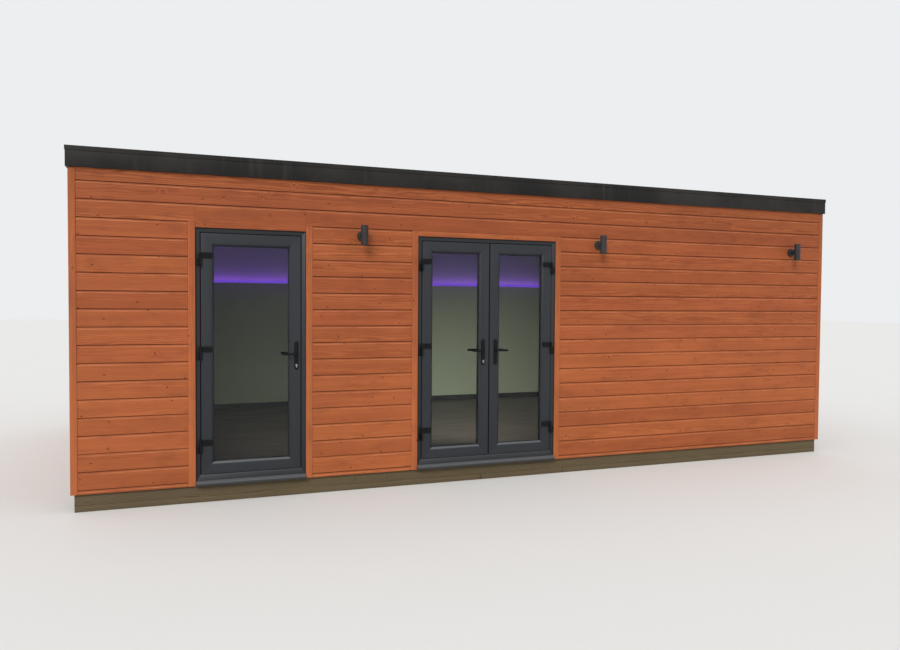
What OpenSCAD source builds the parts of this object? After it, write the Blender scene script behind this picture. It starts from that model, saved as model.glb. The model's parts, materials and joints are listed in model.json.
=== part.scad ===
// Garden office pod: a timber-framed, flat-roofed garden room on bearers,
// clad in horizontal shiplap, with one single door and one pair of French doors.
// Millimetres. +X runs to the right along the front, the front faces -Y, +Z is up.
// The origin is on the ground, under the middle bearer, at the centre of the plan.

/* [Building] */
// Length between the end faces of the cladding
length = 7200; // [6400:50:8400]
// Depth between the front and rear faces of the cladding
depth = 4200; // [3400:50:4800]
// Height of the walls above the floor
wall_h = 2245; // [2200:1:2400]
// Thickness of the framed and lined wall behind the cladding
wall_t = 137; // [90:1:180]

/* [Base and floor] */
// Height of the bearers that lie on the ground
bearer_h = 47; // [38:1:75]
// Width of each bearer
bearer_w = 100; // [75:5:150]
// Number of bearers, an odd number so that one lies on the centre line
bearer_count = 7; // [5:2:9]
// Depth of the floor joists
floor_joist_h = 88; // [70:1:145]
// Thickness of a floor joist
floor_joist_t = 38; // [38:1:47]
// Number of bays between floor joists
floor_bays = 12; // [11:1:16]
// Thickness of the floor deck
floor_t = 22; // [15:1:28]
// Gap between timbers that butt end to face, and under each sloping layer of the roof
butt_gap = 0.3; // [0.1:0.1:0.5]

/* [Roof] */
// Depth of the roof joists at the rear
roof_joist_h = 170; // [145:5:220]
// Thickness of a roof joist
roof_joist_t = 47; // [38:1:63]
// Number of bays between roof joists
roof_bays = 12; // [11:1:18]
// Fall of the roof towards the rear, as a slope
roof_fall = 0.0125; // [0.01:0.0025:0.025]
// Thickness of the roof deck
roof_deck_t = 18; // [15:1:22]
// Thickness of the roof membrane
membrane_t = 3; // [2:0.5:5]
// Height of the kerb above the roof deck
kerb_h = 63; // [50:1:90]
// Width of the kerb
kerb_w = 45; // [38:1:75]
// Thickness of the ceiling lining
ceiling_t = 12; // [9:1:15]
// Height of the fascia boards
fascia_h = 152; // [140:1:180]
// Thickness of the fascia boards
fascia_t = 22; // [16:1:28]
// Height of the edge trim that caps the front and side fascias
edge_trim_h = 34; // [25:1:50]
// How far the edge trim stands proud of the fascia below it
edge_trim_proud = 3; // [1:0.5:6]
// How far the membrane runs out over the gutter
membrane_drip = 20; // [10:1:30]

/* [Cladding and trims] */
// Thickness of the cladding boards
cladding_t = 20; // [15:1:25]
// How far the front cladding runs up behind the fascia
cladding_lap = 30; // [10:1:40]
// Gap between the side cladding and the roof deck at the rear
cladding_vent = 5; // [3:1:10]
// Face width of the corner trims
corner_w = 46; // [40:1:70]
// How far the trims stand proud of the cladding
trim_proud = 4; // [2:1:8]
// Width of the vertical trims beside the doors
door_trim_w = 54; // [40:1:70]
// Height of the trim over the doors
head_trim_h = 45; // [35:1:60]

/* [Door openings] */
// Distance from the left end of the building to the single door's frame
single_x = 872; // [700:1:900]
// Width of the single door's frame
single_w = 851; // [800:1:900]
// Distance from the left end of the building to the double door's frame
double_x = 2678; // [2400:1:3000]
// Width of the double door's frame
double_w = 1323; // [1200:1:1500]
// Height from the bottom of the sill to the top of the door frames
door_h = 2012; // [1950:1:2060]

/* [Door frames and leaves] */
// Height of the sill under the frames
sill_h = 38; // [30:1:50]
// How far the sill stands out past the cladding
sill_nose = 30; // [20:1:45]
// Height of the sill's nose
sill_face = 26; // [22:1:28]
// Radius of the nose's rounded edges
sill_round = 8; // [5:0.5:10]
// Radius of the drip groove under the sill's nose
drip_r = 3; // [2:0.5:4]
// Depth of the door frames
frame_d = 70; // [66:1:80]
// How far the frames are set back from the cladding's face
frame_recess = 8; // [5:1:15]
// Face width of the frames beside and over the leaves
frame_w = 36; // [32:1:50]
// Face width of the frames' bottom rails
frame_bottom_w = 46; // [36:1:55]
// How far the frame's stop reaches in behind the leaf
stop_w = 17; // [14:1:20]
// Gap round a leaf at the hinges, top, bottom and stop
leaf_gap = 5; // [5:0.5:6]
// Gap at the lock edge of the single door
lock_gap = 6; // [6:0.5:8]
// Gap between the two leaves of the double door
meeting_gap = 10; // [10:1:12]
// How far that gap lies to the right of the double door's middle
meeting_offset = 8; // [0:1:15]
// Depth of the leaves
leaf_d = 56; // [50:1:58]
// How far the leaves stand proud of the frames
leaf_proud = 4; // [2:1:6]
// Flat face width of the leaf's stiles and rails
stile_w = 78; // [70:1:90]
// Width of the sloping glazing bead
bead_w = 16; // [10:1:20]
// Depth of the sloping glazing bead
bead_d = 12; // [8:1:14]
// Depth of the sloping bead inside
inner_bead_d = 7; // [4:1:8]
// Width and depth of the bevel round the frame's rebate
frame_bevel = 3; // [2:0.5:4]
// Thickness of the sealed glass unit
glass_t = 28; // [24:1:28]
// Thickness of each of its two panes
pane_t = 4; // [4:1:6]
// Width of the spacer between the panes, round their edges
spacer_w = 9; // [6:1:10]
// Sealant between a pane and the spacer
seal_t = 0.3; // [0.2:0.1:0.5]
// Depth from the leaf's outer face to the glass
glass_set = 18; // [16:1:20]
// Clearance round the edge of the glass unit
glass_gap = 1; // [0.5:0.5:2]
// How deep the glass unit sits behind the bead
glass_grip = 14; // [8:1:15]

/* [Flag hinges] */
// Radius of the hinge knuckles
knuckle_r = 9; // [7:0.5:10]
// Radius of the hinge pins
pin_r = 5; // [3:0.5:6]
// Running clearance round a pin or a spindle
pin_gap = 0.1; // [0.05:0.05:0.2]
// Distance from the leaf's face to the pin's axis
pin_offset = 14; // [14:0.5:16]
// Height of a whole hinge
hinge_h = 107; // [90:1:120]
// Height of the leaf's knuckle and flag
flag_h = 46; // [30:1:50]
// Width of the flag on the leaf
flag_w = 88; // [60:1:95]
// Thickness of the flag
flag_t = 8; // [6:1:9]
// Width of the hinge plate on the frame
hinge_plate_w = 32; // [25:1:34]
// Thickness of the hinge plate on the frame
hinge_plate_t = 5; // [3:0.5:7]
// Width and depth of the bevel at the ends of the flag and the hinge plate
hinge_bevel = 3; // [1:0.5:4]
// Gap between the two knuckles of a hinge
knuckle_gap = 0.5; // [0.3:0.1:1]
// Height of the bottom hinge above the sill's underside
hinge_low = 304; // [250:1:350]
// Distance between the hinges
hinge_pitch = 732; // [650:1:760]

/* [Door handles] */
// Height of the levers above the sill's underside
lever_z = 1022; // [950:1:1100]
// Distance from the single leaf's lock edge to its spindle
backset = 35; // [35:1:38]
// Distance from the double door's meeting edges to the spindles
double_backset = 55; // [45:1:60]
// Height of the handle plates
plate_h = 228; // [200:1:240]
// Width of the handle plates
plate_w = 32; // [26:1:32]
// Thickness of the handle plates
plate_t = 10; // [8:1:12]
// Width and depth of the bevel round the handle plates
plate_bevel = 3; // [1:0.5:4]
// Height of the lever's axis above the middle of its plate
plate_drop = 14; // [0:1:30]
// Length of the levers
lever_l = 112; // [90:1:125]
// Height of the lever bar
lever_h = 20; // [16:1:24]
// Thickness of the lever bar
lever_t = 13; // [10:1:16]
// Radius of the lever bar's rounded edges
lever_edge = 4; // [2:0.5:5]
// Radius of the bend between the neck and the lever bar, at its middle
lever_bend = 14; // [12:1:18]
// How far the lever bar stands off its plate
lever_off = 32; // [28:1:36]
// Radius of the lever's neck
neck_r = 9; // [7:0.5:10]
// Radius of the collar at the foot of the neck
collar_r = 13; // [11:0.5:14]
// Height of that collar
collar_h = 4; // [3:0.5:6]
// Radius of the spindle
spindle_r = 5; // [4:0.5:5.5]
// Distance from the lever's axis down to the key cylinder
key_drop = 92; // [85:1:95]
// Radius of the key cylinder's round top
key_r = 8.5; // [8:0.5:9]
// Width of the key cylinder's lower part
key_w = 10; // [9:0.5:11]
// Height of the key cylinder's lower part below its axis
key_h = 20; // [18:1:24]
// How far the key cylinder stands out of its plate
key_proud = 3; // [2:0.5:4]

/* [Wall lamps] */
// Distance from the left end of the building to the first lamp
lamp_first_x = 2186; // [2080:1:2400]
// Distance from the left end of the building to the second lamp
lamp_second_x = 4451; // [4350:1:5000]
// Distance from the right end of the building to the third lamp
lamp_last_x = 427; // [300:1:600]
// Height of the lamps' centres above the cladding's bottom edge
lamp_z = 1993; // [1800:1:2030]
// Length of a lamp's cylinder
lamp_h = 166; // [120:1:200]
// Radius of a lamp's cylinder
lamp_r = 30; // [25:1:40]
// Distance from the cladding to the cylinder's axis
lamp_off = 92; // [70:1:110]
// Radius of a lamp's wall plate
lamp_plate_r = 42; // [35:1:50]
// Thickness of a lamp's wall plate
lamp_plate_t = 18; // [10:1:25]
// Depth of the recess at each end of the cylinder
lamp_recess = 22; // [10:1:40]
// Wall of the cylinder at its ends
lamp_wall = 3; // [2:0.5:5]
// Width of the arm that holds the cylinder
lamp_arm_w = 24; // [16:1:30]
// Height of that arm
lamp_arm_h = 36; // [24:1:50]
// Width and depth of the bevel at the rims of the cylinder and the wall plate
lamp_bevel = 1.5; // [0.5:0.5:2]

/* [Gutter and downpipe] */
// Outer radius of the half-round gutter
gutter_r = 56; // [45:1:62]
// Wall of the gutter
gutter_t = 3; // [2:0.5:4]
// Drop from the rear fascia's top to the gutter's rim
gutter_drop = 14; // [8:1:25]
// Radius of the bead along the gutter's outer rim
gutter_bead_r = 4; // [3:0.5:5]
// Number of gutter brackets
bracket_count = 8; // [7:1:10]
// Width of a gutter bracket
bracket_w = 30; // [20:1:40]
// Thickness of a gutter bracket
bracket_t = 3; // [2:0.5:5]
// Distance from the gutter's ends to the first and last brackets
bracket_inset = 200; // [100:10:300]
// Outer radius of the downpipe
pipe_r = 34; // [30:1:36]
// Wall of the downpipe
pipe_t = 2.5; // [2:0.5:4]
// Distance from the right end of the building to the downpipe
pipe_x = 160; // [120:1:400]
// Length of the outlet below the gutter
outlet_h = 40; // [30:1:60]
// Thickness of the downpipe's sockets and clips
socket_t = 4; // [3:0.5:5]
// Height of the sockets at the downpipe's head and shoe
socket_h = 55; // [40:1:80]
// Height of a pipe clip
clip_h = 30; // [20:1:40]
// Width of the arm that holds a pipe clip
clip_w = 40; // [30:1:50]
// Distance from the downpipe's ends to the first and last clips
clip_inset = 250; // [150:10:400]
// Height of the downpipe's shoe above the ground
shoe_z = 110; // [90:1:200]
// Height of the shoe's bend above its mouth
shoe_rise = 60; // [50:1:80]
// Length of the shoe beyond its bend
shoe_l = 90; // [70:1:110]
// Angle of the shoe away from straight up
shoe_angle = 120; // [110:1:135]

/* [Hidden] */

// Colours
cedar = [0.70, 0.38, 0.21];
trim_cedar = [0.72, 0.40, 0.23];
anthracite = [0.23, 0.25, 0.27];
roof_black = [0.16, 0.16, 0.17];
hardware_black = [0.09, 0.09, 0.10];
plaster = [0.78, 0.80, 0.75];
deal = [0.80, 0.68, 0.48];
treated = [0.52, 0.48, 0.34];
floor_grey = [0.33, 0.30, 0.27];
glass_tint = [0.55, 0.62, 0.65, 0.45];

cut = 1;
arc_fn = 48;
gutter_fn = 96;

// Plan of the building
left_x = -length / 2;
right_x = length / 2;
front_y = -depth / 2;
rear_y = depth / 2;
wall_out = cladding_t;
wall_in = cladding_t + wall_t;

// Levels
clad_z = bearer_h + floor_joist_h;
floor_z = clad_z + floor_t;
wall_z = floor_z + wall_h;
sill_top = clad_z + sill_h;
head_z = clad_z + door_h;
trim_head_z = head_z + head_trim_h;

// The line of the roof joists' top edges, which falls towards the rear
function roof_line(y) = wall_z + roof_joist_h + (rear_y - y) * roof_fall;
kerb_top = roof_deck_t + kerb_h;

// The line of the side fascias' bottom edges
function fascia_line(y) = roof_line(y) + kerb_top - fascia_h;
fascia_top = roof_line(front_y) + kerb_top;
fascia_bottom = fascia_line(front_y);
rear_fascia_top = roof_line(rear_y) + roof_deck_t;
rear_fascia_bottom = fascia_line(rear_y);
side_clad_top = roof_line(rear_y) - cladding_vent;

// Door frames and leaves
frame_y = front_y + frame_recess;
frame_back = frame_y + frame_d;
leaf_y = frame_y - leaf_proud;
leaf_back = leaf_y + leaf_d;
stop_y = leaf_back + leaf_gap;
leaf_z = sill_top + frame_bottom_w + leaf_gap;
leaf_top = head_z - frame_w - leaf_gap;
single_left = left_x + single_x;
single_right = single_left + single_w;
double_left = left_x + double_x;
double_right = double_left + double_w;
leaf_inset = frame_w + leaf_gap;
single_leaf_w = single_w - 2 * frame_w - leaf_gap - lock_gap;
double_half = (double_w - meeting_gap) / 2 - leaf_inset;
left_leaf_w = double_half + meeting_offset;
right_leaf_w = double_half - meeting_offset;
single_leaf_x = single_left + leaf_inset;
left_leaf_x = double_left + leaf_inset;
right_leaf_x = left_leaf_x + left_leaf_w + meeting_gap;

// Hinge pins and lever spindles
pin_inset = frame_w + leaf_gap / 2;
pin_y = leaf_y - pin_offset;
single_pin_x = single_left + pin_inset;
left_pin_x = double_left + pin_inset;
right_pin_x = double_right - pin_inset;
spindle_z = clad_z + lever_z;
single_spindle_x = single_leaf_x + single_leaf_w - backset;
left_spindle_x = left_leaf_x + left_leaf_w - double_backset;
right_spindle_x = right_leaf_x + double_backset;

// Lamps, gutter and downpipe
lamp_xs = [left_x + lamp_first_x, left_x + lamp_second_x, right_x - lamp_last_x];
gutter_y = rear_y + fascia_t + gutter_r;
gutter_rim = rear_fascia_top - gutter_drop;
gutter_left = left_x - fascia_t;
gutter_right = right_x + fascia_t;
downpipe_x = right_x - pipe_x;
outlet_z = gutter_rim - gutter_r - outlet_h;

// A box from its low and high corners
module slab(x0, x1, y0, y1, z0, z1) {
    translate([x0, y0, z0]) cube([x1 - x0, y1 - y0, z1 - z0]);
}

// A profile in Y and Z, carried along X
module along_x(x0, x1, points) {
    translate([x0, 0, 0]) rotate([90, 0, 90]) linear_extrude(x1 - x0) polygon(points);
}

// A flat outline with rounded corners
module rounded(w, h, r) {
    square([w - 2 * r, h], center = true);
    square([w, h - 2 * r], center = true);
    for (x = [-1, 1], y = [-1, 1])
        translate([x * (w / 2 - r), y * (h / 2 - r)]) circle(r, $fn = arc_fn);
}

// An opening with four sloping sides, from one depth to another, in from a leaf's or a frame's edges
module tapered_opening(x0, x1, z0, z1, y_wide, wide, y_narrow, narrow) {
    intersection() {
        translate([0, 0, z0]) linear_extrude(z1 - z0) polygon([
            [x0 + wide, y_wide], [x1 - wide, y_wide], [x1 - narrow, y_narrow], [x0 + narrow, y_narrow]
        ]);
        along_x(x0, x1, [
            [y_wide, z0 + wide], [y_wide, z1 - wide], [y_narrow, z1 - narrow], [y_narrow, z0 + narrow]
        ]);
    }
}

// A layer that follows the fall of the roof, between two heights above the joists
module roof_layer(x0, x1, y0, y1, low, high) {
    along_x(x0, x1, [
        [y0, roof_line(y0) + low], [y1, roof_line(y1) + low],
        [y1, roof_line(y1) + high], [y0, roof_line(y0) + high]
    ]);
}

// Base and floor
module base_bearers() {
    span = depth - 2 * wall_out - bearer_w;
    color(treated)
    for (i = [0 : bearer_count - 1])
        translate([0, -span / 2 + i * span / (bearer_count - 1), bearer_h / 2])
        cube([length - 2 * wall_out, bearer_w, bearer_h], center = true);
}

module floor_joists() {
    span = length - 2 * wall_out - floor_joist_t;
    rim = floor_joist_t + butt_gap;
    y0 = front_y + wall_out;
    y1 = rear_y - wall_out;
    color(treated) {
        for (i = [0 : floor_bays]) {
            x = -span / 2 + i * span / floor_bays;
            slab(x - floor_joist_t / 2, x + floor_joist_t / 2,
                y0 + rim, y1 - rim, bearer_h, clad_z);
        }
        for (y = [y0, y1 - floor_joist_t])
            slab(left_x + wall_out, right_x - wall_out, y, y + floor_joist_t, bearer_h, clad_z);
    }
}

module floor_deck() {
    color(floor_grey)
    difference() {
        slab(left_x + wall_out, right_x - wall_out, front_y + wall_out, rear_y - wall_out,
            clad_z, floor_z);
        for (x = [[single_left, single_right], [double_left, double_right]])
            slab(x[0], x[1], front_y, frame_back, clad_z - cut, floor_z + cut);
    }
}

// Walls
module front_wall_piece(x0, x1, z0, z1) {
    color(plaster) slab(x0, x1, front_y + wall_out, front_y + wall_in, z0, z1);
}

module front_wall_left() {
    front_wall_piece(left_x + wall_out, single_left, floor_z, head_z);
}

module front_wall_middle() {
    front_wall_piece(single_right, double_left, floor_z, head_z);
}

module front_wall_right() {
    front_wall_piece(double_right, right_x - wall_out, floor_z, head_z);
}

module front_wall_header() {
    front_wall_piece(left_x + wall_out, right_x - wall_out, head_z, wall_z);
}

module rear_wall() {
    color(plaster)
    slab(left_x + wall_out, right_x - wall_out, rear_y - wall_in, rear_y - wall_out,
        floor_z, wall_z);
}

module side_wall(x0) {
    color(plaster)
    slab(x0, x0 + wall_t, front_y + wall_in, rear_y - wall_in, floor_z, wall_z);
}

module left_wall() {
    side_wall(left_x + wall_out);
}

module right_wall() {
    side_wall(right_x - wall_in);
}

// Roof
module ceiling() {
    color(plaster)
    slab(left_x + wall_in, right_x - wall_in, front_y + wall_in, rear_y - wall_in,
        wall_z - ceiling_t, wall_z);
}

// A roof timber with its top cut to the fall
module roof_joist(x0, x1, y0, y1) {
    along_x(x0, x1, [[y0, wall_z], [y1, wall_z], [y1, roof_line(y1)], [y0, roof_line(y0)]]);
}

module roof_joists() {
    span = length - 2 * wall_out - roof_joist_t;
    rim = roof_joist_t + butt_gap;
    y0 = front_y + wall_out;
    y1 = rear_y - wall_out;
    color(deal) {
        for (i = [0 : roof_bays]) {
            x = -span / 2 + i * span / roof_bays;
            roof_joist(x - roof_joist_t / 2, x + roof_joist_t / 2, y0 + rim, y1 - rim);
        }
        for (y = [y0, y1 - roof_joist_t])
            roof_joist(left_x + wall_out, right_x - wall_out, y, y + roof_joist_t);
    }
}

module roof_deck() {
    color(deal) roof_layer(left_x, right_x, front_y, rear_y, butt_gap, roof_deck_t);
}

module roof_membrane() {
    low = roof_deck_t + butt_gap;
    color(roof_black) {
        roof_layer(left_x, right_x, front_y, rear_y + fascia_t + membrane_drip,
            low, low + membrane_t);
        roof_layer(left_x, right_x, front_y, front_y + kerb_w, low, kerb_top);
        for (x = [left_x, right_x - kerb_w])
            roof_layer(x, x + kerb_w, front_y, rear_y, low, kerb_top);
    }
}

module front_fascia() {
    board_t = fascia_t - edge_trim_proud;
    color(roof_black) {
        slab(left_x - board_t, right_x + board_t, front_y - board_t, front_y,
            fascia_bottom, fascia_top);
        slab(left_x - fascia_t, right_x + fascia_t, front_y - fascia_t, front_y,
            fascia_top - edge_trim_h, fascia_top);
    }
}

module side_fascias() {
    board_t = fascia_t - edge_trim_proud;
    color(roof_black)
    for (side = [0, 1]) mirror([side, 0, 0]) {
        roof_layer(right_x, right_x + board_t, front_y, rear_y, kerb_top - fascia_h, kerb_top);
        roof_layer(right_x, right_x + fascia_t, front_y, rear_y, kerb_top - edge_trim_h, kerb_top);
    }
}

module rear_fascia() {
    back = rear_y + fascia_t;
    color(roof_black)
    along_x(left_x - fascia_t, right_x + fascia_t, [
        [rear_y, rear_fascia_bottom], [back, rear_fascia_bottom],
        [back, roof_line(back) + roof_deck_t], [rear_y, rear_fascia_top]
    ]);
}

// Cladding: slabs that stand for the shiplap courses
module front_cladding(x0, x1, z0, z1) {
    color(cedar) slab(x0, x1, front_y, front_y + cladding_t, z0, z1);
}

module front_cladding_head() {
    front_cladding(left_x + corner_w, right_x - corner_w, trim_head_z,
        fascia_bottom + cladding_lap);
}

module front_cladding_left() {
    front_cladding(left_x + corner_w, single_left - door_trim_w, clad_z, trim_head_z);
}

module front_cladding_middle() {
    front_cladding(single_right + door_trim_w, double_left - door_trim_w, clad_z, trim_head_z);
}

module front_cladding_right() {
    front_cladding(double_right + door_trim_w, right_x - corner_w, clad_z, trim_head_z);
}

module side_cladding(x0) {
    color(cedar)
    slab(x0, x0 + cladding_t, front_y + corner_w, rear_y - corner_w, clad_z, side_clad_top);
}

module left_cladding() {
    side_cladding(left_x);
}

module right_cladding() {
    side_cladding(right_x - cladding_t);
}

module rear_cladding() {
    color(cedar)
    slab(left_x + corner_w, right_x - corner_w, rear_y - cladding_t, rear_y,
        clad_z, side_clad_top);
}

// An angle that covers one corner and laps a little past both faces
module corner_trim(top) {
    translate([0, 0, clad_z]) linear_extrude(top - clad_z) polygon([
        [-trim_proud, -trim_proud], [corner_w, -trim_proud], [corner_w, cladding_t],
        [cladding_t, cladding_t], [cladding_t, corner_w], [-trim_proud, corner_w]
    ]);
}

module corner_trims() {
    color(trim_cedar)
    for (side = [0, 1]) mirror([side, 0, 0]) {
        translate([left_x, front_y, 0]) corner_trim(fascia_line(front_y + corner_w));
        translate([left_x, rear_y, 0]) mirror([0, 1, 0]) corner_trim(rear_fascia_bottom);
    }
}

module door_trim(x0, x1, z0, z1) {
    slab(x0, x1, front_y - trim_proud, front_y + cladding_t, z0, z1);
}

module door_trims() {
    color(trim_cedar)
    for (x = [[single_left, single_right], [double_left, double_right]]) {
        door_trim(x[0] - door_trim_w, x[0], clad_z, trim_head_z);
        door_trim(x[1], x[1] + door_trim_w, clad_z, trim_head_z);
        door_trim(x[0] + butt_gap, x[1] - butt_gap, head_z, trim_head_z);
    }
}

// Door frames, with a rebate that takes the leaf and a stop behind it
module door_frame(x0, x1) {
    inset = frame_w + stop_w;
    color(anthracite)
    difference() {
        slab(x0, x1, frame_y, frame_back, sill_top, head_z);
        slab(x0 + frame_w, x1 - frame_w, frame_y - cut, stop_y,
            sill_top + frame_bottom_w, head_z - frame_w);
        slab(x0 + inset, x1 - inset, frame_y, frame_back + cut,
            sill_top + frame_bottom_w + stop_w, head_z - inset);
        tapered_opening(x0, x1, sill_top + frame_bottom_w - frame_w, head_z,
            frame_y - cut, frame_w - frame_bevel - cut, frame_y + frame_bevel, frame_w);
    }
}

module single_door_frame() {
    door_frame(single_left, single_right);
}

module double_door_frame() {
    door_frame(double_left, double_right);
}

// A sill: a sloping top, a rounded nose and a groove under it where rain drips off
module sill(x0, x1) {
    nose_y = front_y - sill_nose + sill_round;
    low = clad_z + sill_round;
    high = clad_z + sill_face - sill_round;
    run = frame_y - nose_y;
    rise = sill_top - high;
    slope = atan2(rise, run) - asin(sill_round / norm([run, rise]));
    difference() {
        union() {
            along_x(x0, x1, [
                [nose_y - sill_round, low], [nose_y, clad_z], [frame_back, clad_z],
                [frame_back, sill_top], [frame_y, sill_top],
                [nose_y - sill_round * sin(slope), high + sill_round * cos(slope)],
                [nose_y - sill_round, high]
            ]);
            for (z = [low, high])
                translate([x0, nose_y, z]) rotate([0, 90, 0])
                    cylinder(r = sill_round, h = x1 - x0, $fn = arc_fn);
        }
        translate([x0 - cut, nose_y + sill_round - drip_r, clad_z]) rotate([0, 90, 0])
            cylinder(r = drip_r, h = x1 - x0 + 2 * cut, $fn = arc_fn);
    }
}

module door_sills() {
    color(anthracite) {
        sill(single_left, single_right);
        sill(double_left, double_right);
    }
}

// A leaf: stiles and rails with sloping beads outside and inside and a groove for the glass
module leaf(x0, w, spindle_x) {
    x1 = x0 + w;
    in = stile_w + bead_w;
    groove = in - glass_grip;
    color(anthracite)
    difference() {
        slab(x0, x1, leaf_y, leaf_back, leaf_z, leaf_top);
        tapered_opening(x0, x1, leaf_z, leaf_top,
            leaf_y - cut, stile_w - cut * bead_w / bead_d, leaf_y + bead_d, in);
        tapered_opening(x0, x1, leaf_z, leaf_top,
            leaf_back + cut, stile_w - cut * bead_w / inner_bead_d, leaf_back - inner_bead_d, in);
        slab(x0 + in, x1 - in, leaf_y, leaf_back + cut, leaf_z + in, leaf_top - in);
        slab(x0 + groove, x1 - groove, leaf_y + glass_set, leaf_y + glass_set + glass_t,
            leaf_z + groove, leaf_top - groove);
        translate([spindle_x, leaf_y - cut, spindle_z]) rotate([-90, 0, 0])
            cylinder(r = spindle_r + pin_gap, h = leaf_d + 2 * cut, $fn = arc_fn);
    }
}

// A sealed unit: two panes and, between their edges, a spacer made of four bars
module leaf_glass(x0, w) {
    edge = stile_w + bead_w - glass_grip + glass_gap;
    outer = leaf_y + glass_set;
    inner = outer + glass_t;
    low = leaf_z + edge;
    high = leaf_top - edge;
    left = x0 + edge;
    right = x0 + w - edge;
    bar_0 = outer + pane_t + seal_t;
    bar_1 = inner - pane_t - seal_t;
    color(glass_tint) {
        slab(left, right, outer, outer + pane_t, low, high);
        slab(left, right, inner - pane_t, inner, low, high);
    }
    color(roof_black) {
        for (x = [left, right - spacer_w])
            slab(x, x + spacer_w, bar_0, bar_1, low, high);
        for (z = [low, high - spacer_w])
            slab(left + spacer_w + seal_t, right - spacer_w - seal_t, bar_0, bar_1, z, z + spacer_w);
    }
}

// The heights of the three hinges
function hinge_zs() = [for (i = [0 : 2]) clad_z + hinge_low + i * hinge_pitch];

// The frame's half of a flag hinge, with the pin; the leaf lies towards +X
module hinge_base() {
    low = -hinge_h / 2;
    high = hinge_h / 2 - flag_h;
    seat = frame_y - pin_y;
    translate([0, 0, low]) cylinder(r = knuckle_r, h = high - low, $fn = arc_fn);
    translate([0, 0, low]) cylinder(r = pin_r, h = hinge_h, $fn = arc_fn);
    translate([0, 0, low]) linear_extrude(high - low) polygon([
        [0, 0], [-knuckle_r, 0], [-knuckle_r, seat - hinge_plate_t],
        [-hinge_plate_w + hinge_bevel, seat - hinge_plate_t],
        [-hinge_plate_w, seat - hinge_plate_t + hinge_bevel], [-hinge_plate_w, seat],
        [0, seat]
    ]);
}

module hinge_bases() {
    color(hardware_black)
    for (z = hinge_zs()) {
        for (x = [single_pin_x, left_pin_x])
            translate([x, pin_y, z]) hinge_base();
        translate([right_pin_x, pin_y, z]) mirror([1, 0, 0]) hinge_base();
    }
}

// The leaf's half of a flag hinge, which turns on the pin
module hinge_flag() {
    low = hinge_h / 2 - flag_h + knuckle_gap;
    high = hinge_h / 2;
    difference() {
        union() {
            translate([0, 0, low]) cylinder(r = knuckle_r, h = high - low, $fn = arc_fn);
            translate([0, 0, low]) linear_extrude(high - low) polygon([
                [0, pin_offset - flag_t], [flag_w - hinge_bevel, pin_offset - flag_t],
                [flag_w, pin_offset - flag_t + hinge_bevel], [flag_w, pin_offset], [0, pin_offset]
            ]);
        }
        translate([0, 0, low - cut])
            cylinder(r = pin_r + pin_gap, h = high - low + 2 * cut, $fn = arc_fn);
    }
}

// Half of a handle plate's section, with its bevelled face up
module plate_section() {
    half = plate_w / 2;
    polygon([
        [0, 0], [half, 0], [half, plate_t - plate_bevel], [half - plate_bevel, plate_t], [0, plate_t]
    ]);
}

// A handle plate with round ends, with or without a key cylinder; its back lies on Y = 0
module handle_plate(keyed) {
    end = plate_h / 2 - plate_w / 2;
    low = -plate_drop - end;
    high = -plate_drop + end;
    difference() {
        union() {
            for (side = [0, 1]) mirror([side, 0, 0])
                translate([0, 0, low]) linear_extrude(high - low) mirror([0, 1, 0]) plate_section();
            for (z = [low, high])
                translate([0, 0, z]) rotate([90, 0, 0])
                    rotate_extrude($fn = arc_fn) plate_section();
            if (keyed) {
                translate([0, 0, -key_drop]) rotate([90, 0, 0])
                    cylinder(r = key_r, h = plate_t + key_proud, $fn = arc_fn);
                slab(-key_w / 2, key_w / 2, -plate_t - key_proud, 0, -key_drop - key_h, -key_drop);
            }
        }
        translate([0, cut, 0]) rotate([90, 0, 0])
            cylinder(r = spindle_r + pin_gap, h = plate_t + 2 * cut, $fn = arc_fn);
    }
}

// Hinge flags and handle plates of a leaf whose hinges are on its left
module fittings(pin_x, spindle_x, keyed) {
    for (z = hinge_zs())
        translate([pin_x, pin_y, z]) hinge_flag();
    translate([spindle_x, leaf_y, spindle_z]) handle_plate(keyed);
    translate([spindle_x, leaf_back, spindle_z]) mirror([0, 1, 0]) handle_plate(keyed);
}

// One lever, pointing to -X, on the outer side of its plate; Y = 0 is the leaf's face.
// A neck on a collar comes off the plate, bends through a right angle and runs out to a round tip.
module lever() {
    foot = -plate_t - knuckle_gap;
    bar_y = -plate_t - lever_off;
    bend_y = bar_y + lever_bend;
    tip = -lever_l + lever_h / 2;
    translate([0, foot, 0]) rotate([90, 0, 0]) {
        cylinder(r = collar_r, h = collar_h, $fn = arc_fn);
        cylinder(r = neck_r, h = foot - bend_y, $fn = arc_fn);
    }
    translate([-lever_bend, bend_y, 0]) rotate([0, 0, -90])
        rotate_extrude(angle = 90, $fn = arc_fn)
        translate([lever_bend, 0]) rounded(lever_t, lever_h, lever_edge);
    translate([-lever_bend, bar_y, 0]) rotate([0, -90, 0])
        linear_extrude(-lever_bend - tip) rounded(lever_h, lever_t, lever_edge);
    translate([tip, bar_y, 0]) rotate([90, 0, 0])
        rotate_extrude($fn = arc_fn)
        intersection() {
            rounded(lever_h, lever_t, lever_edge);
            translate([0, -lever_t / 2]) square([lever_h / 2, lever_t]);
        }
}

// The two levers of a leaf and the spindle that joins them
module lever_pair(spindle_x) {
    reach = plate_t + lever_off - lever_bend;
    translate([spindle_x, leaf_y, spindle_z]) lever();
    translate([spindle_x, leaf_back, spindle_z]) mirror([0, 1, 0]) lever();
    translate([spindle_x, leaf_y - reach, spindle_z]) rotate([-90, 0, 0])
        cylinder(r = spindle_r, h = leaf_d + 2 * reach, $fn = arc_fn);
}

module single_door_leaf() {
    leaf(single_leaf_x, single_leaf_w, single_spindle_x);
}

module single_door_glass() {
    leaf_glass(single_leaf_x, single_leaf_w);
}

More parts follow.
